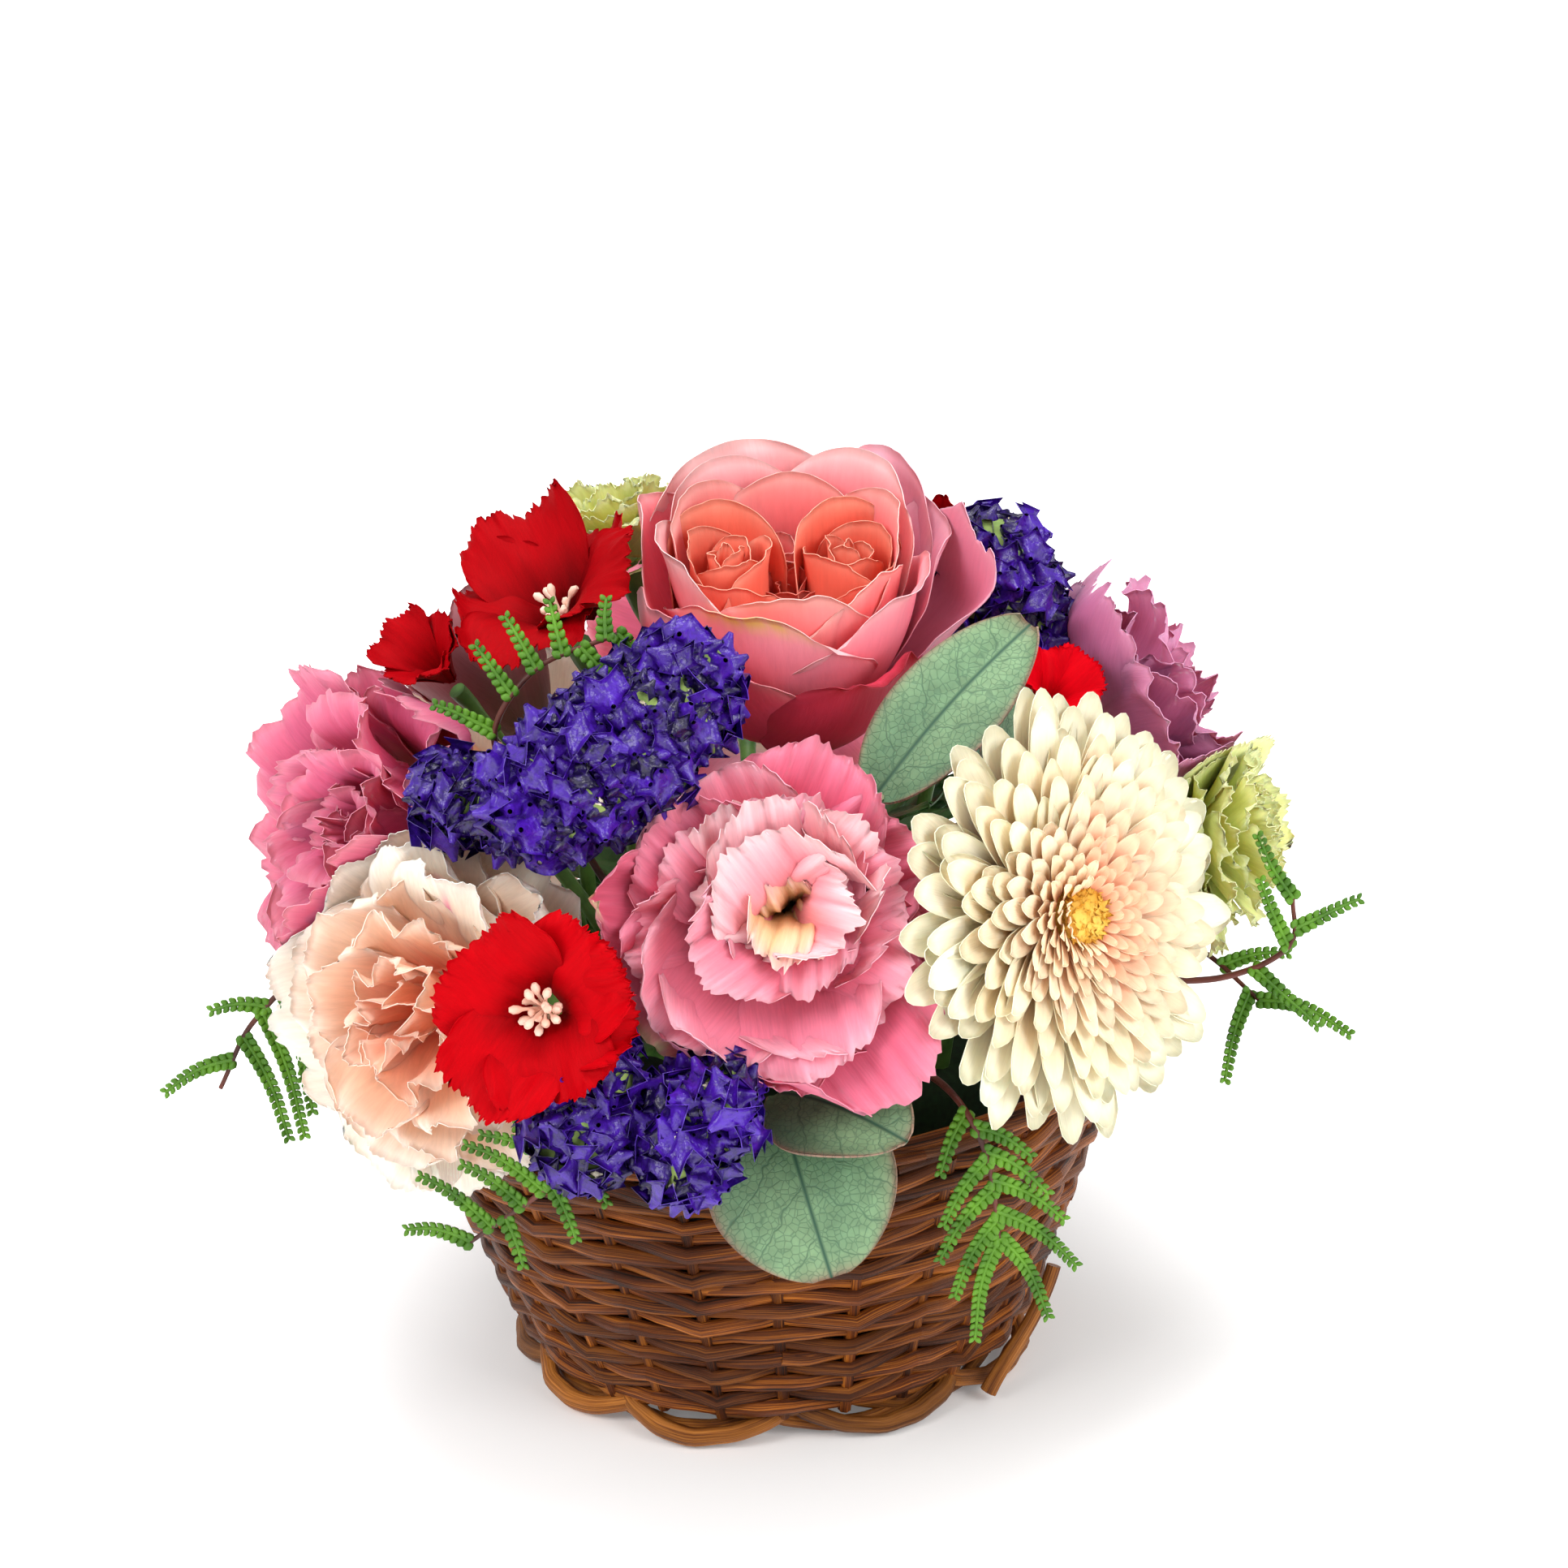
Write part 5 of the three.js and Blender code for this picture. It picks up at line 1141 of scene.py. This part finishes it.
def flower(name, whorls, material, seed):
    """A whole flower head from its whorls, standing for the CAD bloom of the same name."""
    draw = np.random.default_rng(seed)
    bloom = blooms[name]
    grids, tints, grains = [], [], []
    for whorl in whorls:
        w = {**PETAL, **whorl}
        root, body, margin = (linear(color) for color in w["colors"])
        for k in range(len(w["angles"] or range(w["count"]))):
            points, u, v, rim, half = petal(bloom, whorl, k, draw)
            tint = linear_mix(root, body, (u - 0.1) / 0.45 + 0.12 * ripple(v, 3, draw))
            tint = linear_mix(tint, margin, rim ** w["margin"])
            tint = tint * (1 + 0.05 * draw.standard_normal())
            for color, u0, v0, long, wide in w["marks"]:
                blot = np.exp(-((u - u0) / long) ** 2 - ((v - v0) / wide) ** 2)
                tint = linear_mix(tint, linear(color), blot * (1 + 0.5 * ripple(3 * v, 3, draw)))
            grain = np.stack([v * half * bloom.size, u * w["length"], 0 * u + draw.uniform(0, 90)], -1)
            grids.append(points)
            tints += [tint.reshape(-1, 3)] * 2
            grains += [grain.reshape(-1, 3)] * 2
    points, faces, cut = sheets(grids, THICK)
    head = piece(name + "_petals", points, faces, material, np.clip(np.concatenate(tints), 0, 1),
                 np.concatenate(grains), cut)
    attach(head, "root")
    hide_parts(name)
    return head


# ---------- rose ----------
# A garden rose, coral pink, with two hearts and petals that fill the cup round them, most of
# these in a darker red: painted shade in the hollow between the hearts. Smooth velvety petals
# wrap round each other; the outer ones stand in a deep cup with thin lips rolled outwards, the
# lowest are mauve guards.

rose_skin = skin("rose_petal", 0.5, 0.05, 0.25, across=1.0)
MAUVE = ("#b84870", "#e0809c", "#ecaabc")
PALE_MAUVE = ("#b84870", "#e08aa4", "#f0b4c0")
ROSE_OUT = ("#f04a68", "#ff8a9c", "#ffbcc2")
ROSE_BACK = ("#ee4058", "#f98e98", "#fed0ce")
ROSE_MID = ("#e63246", "#f87c80", "#fdbcb4")
ROSE_HEART = ("#d42a20", "#f8705a", "#fda890")
STREAK = (("#f0c070", 0.97, 0.1, 0.05, 0.5),)
shared = dict(r0=4, bend=0.7, ruffle=0.5, waves=1.5, frill=0.35, frills=3, fine=5, swell=0.7,
              start=0.05, rows=24, columns=36, loose=0.02, drop=0.16, margin=5)
rose_whorls = whorls_of(
    "angles h0 length half out0 out1 lip lip_from cup0 cup1 drop ruffle frill colors", (
        ([276], 1, 54, 18, 66, 30, 110, 0.55, 14, 24, 0.22, 1.4, 0.8, MAUVE),
        ([318], 2, 50, 17, 62, 10, 50, 0.7, 14, 36, 0.16, 1.0, 0.35, PALE_MAUVE),
        ([292], 2, 44, 15, 62, 12, 60, 0.7, 14, 30, 0.16, 1.2, 0.35, PALE_MAUVE),
        ([120], 1, 46, 23, 78, 4, 50, 0.8, 14, 26, 0.2, 0.5, 0.35, ("#d42850", "#ee4e6a", "#f69aa2")),
        ([205], -1, 40, 20, 80, 6, 90, 0.78, 14, 24, 0.26, 1.4, 0.8, ("#c82850", "#dc3c58", "#a83040")),
        ([12], 3, 47.5, 25, 62, 4, 30, 0.8, 13, 36, 0.16, 1.2, 0.6, ROSE_BACK),
        ([64], 3, 47, 20, 64, 6, 50, 0.78, 13, 30, 0.16, 1.3, 0.5, ("#e02848", "#f2566c", "#fbb6b8")),
        ([240], 2, 43, 24, 66, 0, 56, 0.8, 13, 26, 0.2, 0.5, 0.35, ROSE_OUT),
        ([148], 2, 42, 24, 66, -2, 46, 0.82, 13, 26, 0.22, 0.5, 0.35, ROSE_OUT),
        ([320, 25, 95], 4, 45, 20, 56, 2, 26, 0.8, 12, 24, 0.16, 0.5, 0.35, ROSE_BACK),
        ([172, 228], 4, 39, 20, 58, -4, 40, 0.82, 12, 23, 0.2, 0.5, 0.35, ROSE_MID),
        ([352, 48, 285], 5, 42, 19, 52, 0, 14, 0.8, 11, 21, 0.16, 0.5, 0.35, ROSE_MID)), **shared)
rose_whorls[5]["waves"] = 2.2
rose_whorls[8]["marks"] = STREAK
for hand, lift in ((1, 0), (-1, -1)):
    for turn, r0, top, half, lean, cup, lip in (
            (0, 9.6, 42, 15, 4, 10.5, 14), (150, 9.2, 35, 14, 4, 10, 24), (250, 8.0, 37, 12, 2, 9, 20),
            (60, 7.0, 39, 11, 2, 7.8, 14), (190, 5.8, 37, 9.5, 0, 6.4, 14), (310, 4.6, 38, 8, 0, 5.2, 10),
            (100, 3.4, 37.5, 6.4, 0, 4.0, 8), (230, 2.2, 38, 4.8, 0, 2.8, 6), (0, 1.2, 38, 3, 0, 1.6, 0)):
        rose_whorls.append({**shared, **dict(
            angles=[turn * hand + 10], off=(1.5, 10.5 * hand), r0=r0 * 0.7, h0=12, length=top + lift - 12,
            half=half, spread=30, out0=lean + 6, out1=-4, cup0=cup * 0.85, cup1=cup, drop=0.13, start=0.1,
            skew=1.2 * hand, lip=lip, lip_from=0.72, swell=0.4, ruffle=0.3, bend=1, rows=18,
            columns=24, colors=ROSE_HEART)})
# Filler petals in a darker red: painted shade for the hollow between and round the two hearts.
ROSE_PAINTED_SHADE = ("#b81c1c", "#e04a40", "#f48c7c")
for back, reach, colors in ((13, 31, ROSE_MID), (-10, 27, ROSE_PAINTED_SHADE), (2, 30, ROSE_PAINTED_SHADE)):
    for turn, r0, half, cup in (
            (0, 6.4, 11, 9), (130, 6.0, 11, 8.4), (245, 5.2, 10, 7.4), (60, 4.2, 9, 6),
            (180, 3.2, 7.5, 4.6), (300, 2.2, 6, 3.4), (90, 1.2, 4, 2.2)):
        rose_whorls.append({**shared, **dict(
            angles=[turn + 3 * back], off=(back, 0), r0=r0 * 0.6, h0=8, length=reach - 8, half=half,
            spread=30, out0=8, out1=-2, cup0=cup * 0.85, cup1=cup, drop=0.13, start=0.1, skew=1.0,
            lip=16, lip_from=0.72, swell=0.4, ruffle=0.3, bend=1, rows=12, columns=18, colors=colors)})
flower("rose", rose_whorls, rose_skin, 11)

# ---------- lisianthus ----------
# Double pink lisianthus, thin silky petals in a deep cup with ruffled edges turned outwards,
# and a yellow-green throat. Two more at the left and right, one at the back, and a bud.

silk = skin("lisianthus_petal", 0.5, 0.09, 0.3, across=2.4)
LISIANTHUS = dict(frill=1.7, frills=4, fine=3, waves=1.7, claw=0.3, cup0=8, tooth=0.02, teeth=9,
                  margin=6, loose=0.08, drop=0.16, tip=0.85, ruffle=1.9, swell=1.3, r0=2, spread=2.2,
                  rows=22, columns=40, start=0.1)


def lisianthus(body, edge, throat, rings=(0, 1, 2, 3, 4, 5)):
    """The whorls of a double lisianthus in its own pinks, from the outermost in."""
    whorls = whorls_of("count turn r0 h0 length half out0 out1 lip lip_from cup0 cup1", (
        (5, 0, 2, 0, 44, 22, 50, 62, 50, 0.55, 8, 40),
        (4, 36, 2, 0.5, 42, 20, 42, 44, 66, 0.6, 8, 30),
        (4, 80, 2, 1, 39, 17, 34, 26, 74, 0.62, 8, 22),
        (4, 35, 1.6, 1.5, 36, 13.5, 24, 12, 84, 0.62, 8, 15),
        (3, 70, 1.2, 2, 33, 10.5, 14, 2, 80, 0.66, 6, 11),
        (3, 20, 0.8, 2, 29, 8, 6, -6, 50, 0.66, 5, 8)))
    return [{**LISIANTHUS, "colors": (throat, body, edge), "loose": 0.1, **whorls[ring]}
            for ring in rings]


# The front flower, petal by petal: its angle, the radius and height where it folds out, the
# width of the fold and half its breadth, from the outer petals in to the pale pile round the
# throat. Two outer petals are browned at their edge.
PINK = ("#e8c080", "#ee7890", "#f6aebc")
PALE = ("#f0d8a0", "#f498a4", "#fcced0")
DEEP = ("#dca878", "#e66684", "#f490a6")
THROAT = ("#a8b848", "#eec890", "#fac8c0")
BROWNED = (("#ecd2a0", 1.0, 0.15, 0.09, 0.2), ("#c09058", 0.98, -0.2, 0.05, 0.12))
FOLDED_TO = 118.0
front_whorls = []
for angle, radius, height, width, half, colors, marks in (
        (66, 18, 23, 16, 11, DEEP, BROWNED), (120, 15, 23, 12, 17, DEEP, BROWNED),
        (160, 17, 22, 11, 15, DEEP, ()), (204, 19, 23, 15, 17, DEEP, ()),
        (240, 18, 21, 11, 15, DEEP, ()), (268, 17, 18, 11, 15, DEEP, ()),
        (300, 17, 20, 12, 16, DEEP, ()), (332, 19, 21, 13, 14, DEEP, ()),
        (8, 16, 22, 11, 15, PINK, ()), (38, 14, 22, 10, 14, DEEP, ()),
        (88, 14, 26, 9, 11, PINK, ()), (132, 13, 27, 9, 15, PINK, ()),
        (182, 14, 28, 12, 19, PINK, ()), (232, 14, 28, 12, 18, PINK, ()),
        (276, 13, 25, 9, 13, PINK, ()), (318, 13, 26, 9, 14, PINK, ()),
        (354, 13, 26, 8, 13, PALE, ()), (30, 12, 26, 9, 13, PINK, ()),
        (62, 9, 30, 11, 14, PALE, ()), (112, 8, 30, 10, 12, PINK, ()),
        (166, 5.5, 29, 9, 13, PINK, ()), (215, 3.5, 27, 8, 14, PALE, ()),
        (262, 7, 29, 9, 12, PINK, ()), (306, 9, 30, 8, 12, PALE, ()), (0, 8, 30, 9, 13, PALE, ()),
        (38, 4, 33, 13, 15, PALE, ()), (92, 4.5, 32, 9, 9, PALE, ()),
        (150, 3, 31, 7, 9, THROAT, ()), (245, 3, 31, 8, 10, PALE, ()), (300, 4, 32, 8, 11, PALE, ()),
        (346, 3.5, 32.5, 9, 10, PALE, ()), (12, 1.5, 31, 5, 8, THROAT, ()), (200, 1.2, 28, 4, 6, THROAT, ())):
    lean = math.degrees(math.atan2(radius, height))
    long = math.hypot(radius, height) + width
    front_whorls.append({**LISIANTHUS, **dict(
        angles=[angle], length=long, half=half, out0=lean - 10, out1=lean + 10,
        lip=FOLDED_TO - lean - 10, lip_from=1 - 1.3 * width / long, cup1=10 + 1.2 * radius, cup0=7,
        off=(3, -4) if radius < 9.5 else (0, 0), r0=1, free=("gerbera",), colors=colors, marks=marks)})
flower("lisianthus_front", front_whorls, silk, 21)
flower("lisianthus_left", lisianthus("#d0587e", "#e890a4", "#e0b080"), silk, 22)
flower("lisianthus_right", lisianthus("#b86890", "#d490b0", "#b88070", (0, 1, 2, 4, 5)), silk,
       23)
flower("lisianthus_back", lisianthus("#e06484", "#f09cac", "#e8c080"), silk, 24)
flower("lisianthus_bud", whorls_of("count turn r0 h0 length half out0 out1 lip cup0 cup1 colors", (
    (4, 0, 2, 0, 33, 16, 46, 4, 30, 7, 16, ("#6a5040", "#8a5054", "#a87078")),
    (3, 40, 1.6, 1, 31, 12, 36, 0, 20, 6, 10, ("#7a5848", "#94585c", "#b07a80"))),
    bend=0.8, lip_from=0.8, claw=0.3, ruffle=0.8, waves=2, frill=0.5, start=0.1), silk, 25)

# ---------- gerbera ----------
# A double gerbera: cream strap rays in many rings, the inner ones shorter, narrower, hollowed
# like spoons and peach, round an eye of tiny yellow florets.

ray_skin = skin("gerbera_ray", 0.5, 0.06, 0.3, across=1.6, along=0.08, depth=0.00025)
CREAM = ("#fad8a8", "#fff2d8", "#fff6d4")
# WARM, PEACH and CORAL each give a ring two copies of its colours: a deeper one for the rays on the right
# half of the face, painted shade there, and a lighter one for the rest.
WARM = (("#f6b890", "#fddab8", "#feecca"), ("#f8cc9c", "#fee4c0", "#fff0ca"))
PEACH = (("#f09c78", "#fabc9a", "#fdd6b4"), ("#f6c098", "#fdd8b6", "#fee6c4"))
CORAL = (("#f09070", "#fab08c", "#fccca8"), ("#f6b488", "#fdd2ac", "#fee0ba"))
ray_whorls = []
for count, turn, r0, h0, length, half, out0, out1, pair in (
        (24, 0, 9, 1.2, 28.5, 4.5, 84, 75, (CREAM, CREAM)),
        (24, 8, 9, 2.0, 27, 4.2, 81, 73, (CREAM, CREAM)),
        (24, 3, 8.6, 2.9, 25, 3.8, 77, 71, (CREAM, CREAM)),
        (24, 11, 8.1, 3.7, 22.6, 3.4, 73, 69, WARM), (24, 5, 7.6, 4.4, 20, 3.0, 69, 67, WARM),
        (24, 14, 7.2, 5.3, 17.0, 2.6, 65, 67, WARM), (24, 2, 6.7, 6.2, 14.2, 2.3, 61, 66, PEACH),
        (24, 9, 6.2, 7.1, 11.6, 2.0, 57, 64, PEACH), (24, 4, 5.7, 8.0, 9.2, 1.7, 52, 62, CORAL),
        (22, 12, 5.1, 8.8, 7.2, 1.4, 46, 60, CORAL), (20, 3, 4.5, 9.5, 5.6, 1.2, 38, 56, CORAL),
        (18, 8, 3.9, 10.0, 4.2, 0.9, 26, 50, CORAL)):
    ring = [turn + 360 * i / count for i in range(count)]
    # The right half of each ring takes the first, darker copy: painted shade.
    for painted_shade_side, colors in zip((True, False), pair):
        ray_whorls.append(dict(
            angles=[a for a in ring if (190 < a % 360 < 345) == painted_shade_side], r0=r0, h0=h0,
            length=length, half=half, out0=out0, out1=out1, cup0=3.2, cup1=5.5, claw=0.45, tip=0.74,
            drop=0.13, spread=2.2, ruffle=0.2, swell=0.25, waves=1, rows=10, columns=6, loose=0.06,
            skew=0.2, colors=colors, margin=2.5, free=("lisianthus_front",)))
flower("gerbera", ray_whorls, ray_skin, 31)

eye = blooms["gerbera"]
DISC_SIDES = 24
dome = [(r, 10.4 + 1.9 * math.sqrt(1 - (r / 5.0) ** 2)) for r in (4.6, 3.8, 2.8, 1.7, 0.6)]
angle = np.linspace(0, 2 * math.pi, DISC_SIDES, endpoint=False)
points = np.concatenate([eye.base + eye.a * z + r * (np.cos(angle)[:, None] * eye.top
                         + np.sin(angle)[:, None] * eye.left) for r, z in [(3.5, 3.0)] + dome])
faces = []
for k in range(len(dome)):
    faces += ring_quads(k * DISC_SIDES, DISC_SIDES)
faces += [list(range(len(points) - DISC_SIDES, len(points))), list(range(DISC_SIDES))[::-1]]
disc_yellow = plant_skin("disc_yellow", "#f6d060", "#e0a838", 0.6)
disc = piece("gerbera_disc", points, faces, disc_yellow)
eye_floret = floret_shell(disc_yellow)
eye_florets = grown("gerbera_eye", disc.data, CROWD, Shape=eye_floret, Apart=1.25 * MM, Size=0.36,
                    Seed=9, Finish=disc_yellow)
bpy.data.objects.remove(eye_floret)
for part in (disc, eye_florets):
    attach(part, "root")
    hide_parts("gerbera")

# ---------- carnations ----------
# Peach carnations, one at the front left and one at the back: fan petals with finely toothed,
# folded ends, cream at the edges and coral deep inside, with a few magenta flecks.

fan_skin = skin("carnation_petal", 0.6, 0.1, 0.4, across=1.4)


def carnation(rings):
    """The whorls of a carnation, so many from the outermost in."""
    return whorls_of("count turn r0 h0 length half out0 out1 cup0 cup1 start colors", (
        (5, 0, 4, 1, 31, 20, 82, 96, 12, 50, 0.1, ("#f4b890", "#fcead8", "#fdf4ea")),
        (5, 36, 4, 2.5, 31, 18, 70, 84, 11, 42, 0.1, ("#f4a888", "#fde2cc", "#fef2e6")),
        (5, 15, 4, 4, 30, 16, 57, 68, 10, 34, 0.15, ("#f29878", "#fdd8c0", "#feeee0")),
        (5, 50, 3.5, 5, 28.5, 14.5, 44, 55, 10, 26, 0.2, ("#f08868", "#fcccb0", "#fee6d6")),
        (5, 10, 3, 6.5, 27, 13, 30, 42, 8, 18, 0.2, ("#ee7c60", "#fac0a2", "#fde0ce")),
        (4, 40, 2.4, 7.5, 25, 10, 16, 26, 7, 12, 0.25, ("#ea7058", "#f8b296", "#fcd8c4")),
        (3, 70, 1.6, 8, 23, 8, 4, 12, 5, 8, 0.3, ("#e86c54", "#f6a88c", "#fbd0bc")))[:rings],
        ruffle=2.4, waves=2, frill=0.9, frills=4, tooth=0.02, teeth=11, claw=0.3, loose=0.1,
        columns=46, rows=16, margin=3)


# The front carnation's cream guard petals, each by its angle, length, half width and lean, the
# neighbours that it leans on, and its magenta flecks as place and size along and across.
MAGENTA = "#e0108a"
guards = []
for angle, long, half, lean, near, flecks in (
        (336, 39, 15, 50, ("lisianthus_left", "statice_left", "statice_left_side", "dianthus_front"),
         ((MAGENTA, 0.66, 0.15, 0.16, 0.05),)),
        (300, 34, 14, 50, ("dianthus_front", "lisianthus_front", "statice_left"), ()),
        (6, 33, 13, 58, ("lisianthus_left",), ((MAGENTA, 0.7, -0.2, 0.05, 0.12),)),
        (42, 27, 11, 72, ("lisianthus_left",), ()),
        (85, 30, 15, 84, (), ()), (130, 30, 15, 86, (), ((MAGENTA, 0.93, 0.2, 0.05, 0.2),)),
        (168, 31, 15, 84, (), ()), (215, 30, 15, 80, (), ())):
    guards.append(dict(angles=[angle], r0=4, h0=3, length=long, half=half, out0=lean - 16, out1=lean,
                       cup0=12, cup1=60, start=0.1, ruffle=1.6, waves=1.6, frill=0.5, frills=4,
                       tooth=0.02, teeth=9, claw=0.3, spread=6, columns=46, rows=18, margin=3,
                       colors=("#f8c09c", "#ffe4cc", "#fff2e4"), marks=flecks, free=near))
flower("carnation_peach", guards + carnation(7)[1:], fan_skin, 41)
flower("carnation_back", carnation(7), fan_skin, 42)

# ---------- dianthus ----------
# Single red dianthus: five velvet fan petals with sawn edges round a few cream-pink anthers.
# The smaller ones are only half open.

velvet = skin("dianthus_petal", 0.6, 0.1, 0.1, across=1.8, shine=0.04)


def dianthus(red, deep, petals):
    """An open dianthus, petal by petal, each by its angle and half its width."""
    return whorls_of(
        "angles half h0", [([angle], half, 1 + 0.7 * i) for i, (angle, half) in enumerate(petals)],
        r0=1.6, length=25, out0=12, out1=96, bend=0.8, cup0=8, cup1=40, claw=0.15, tip=0.9,
        frill=0.9, frills=4, tooth=0.06, teeth=11, loose=0.08, start=0.1, columns=64, rows=24,
        spread=5, ruffle=2.6, waves=1.3, swell=1.8, colors=(deep, red, red))


def dianthus_bud(red, deep):
    """A half-open dianthus."""
    return [dict(count=5, turn=0, r0=1.6, h0=1, length=23, half=12, out0=8, out1=76, bend=1.3, cup0=6,
                 cup1=20, claw=0.15, tip=0.85, ruffle=1.6, waves=2, frill=0.6, frills=5, tooth=0.06,
                 teeth=11, start=0.1, columns=50, rows=20, loose=0.12, spread=1.8,
                 colors=(deep, red, red))]


def anthers(name, count, seed):
    """Cream-pink anthers on thin curved filaments, standing out of the throat."""
    draw = np.random.default_rng(seed)
    bloom = blooms[name]
    paths, sizes = [], []
    for k in range(count):
        swing = 2.4 * k
        outward = bloom.top * math.cos(swing) + bloom.left * math.sin(swing)
        rise, lean = draw.uniform(6, 13), draw.uniform(1.5, 5.5)
        t = np.linspace(0, 1, 12)[:, None]
        end = outward * (lean * t ** 1.6) + bloom.a * (3 + rise * t - 1.5 * t ** 6)
        side = np.cross(bloom.a, outward) * (2.2 * draw.standard_normal() * t * t)
        paths.append(bloom.base + bloom.size * (end + side))
        sizes.append(np.array([0.28] * 8 + [0.35, 0.7, 0.75, 0.4]))
    made = rods(name + "_anthers", paths, sizes, anther_cream, 7)
    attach(made, "root")
    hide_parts(name)


anther_cream = plant_skin("anther_cream", "#f8dcc8", "#eeb49c", 0.7)
flower("dianthus_front", dianthus("#b4000a", "#740004", (
    (262, 12), (298, 13), (122, 12), (182, 13), (36, 15))), velvet, 51)
flower("dianthus_left", dianthus("#9c0008", "#540003", (
    (350, 15), (40, 13), (84, 13), (176, 14), (262, 14))), velvet, 52)
anthers("dianthus_front", 16, 1)
anthers("dianthus_left", 10, 2)
flower("dianthus_left_small", dianthus_bud("#a4000a", "#640004"), velvet, 53)
flower("dianthus_right", dianthus_bud("#d00012", "#8a0008"), velvet, 54)
flower("dianthus_back", dianthus_bud("#a4000a", "#640004"), velvet, 55)

# ---------- green carnations ----------
# Two small pale green carnations with loose ruffled petals.

green_whorls = whorls_of("count turn r0 h0 length half out0 out1 cup0 cup1", (
    (5, 0, 3, 1, 20, 12, 74, 92, 10, 40), (5, 18, 2.9, 1.5, 15, 12, 66, 84, 10, 36),
    (5, 36, 2.8, 2, 19, 11, 58, 74, 9, 30), (6, 10, 2.5, 3, 18, 11, 42, 62, 9, 24),
    (5, 50, 2, 4, 17, 10, 30, 46, 8, 18), (5, 10, 1.6, 4.5, 16, 8, 16, 30, 6, 12),
    (4, 30, 1.0, 5, 14, 5, 4, 14, 4, 6)), claw=0.3, start=0.15, ruffle=1.2, waves=2, frill=0.7,
    frills=6, tooth=0.06, teeth=13, columns=38, rows=11, loose=0.1,
    colors=("#98a848", "#ccd27c", "#e4e4a8"))
flower("green_right", green_whorls, fan_skin, 61)
flower("green_back", green_whorls, fan_skin, 62)
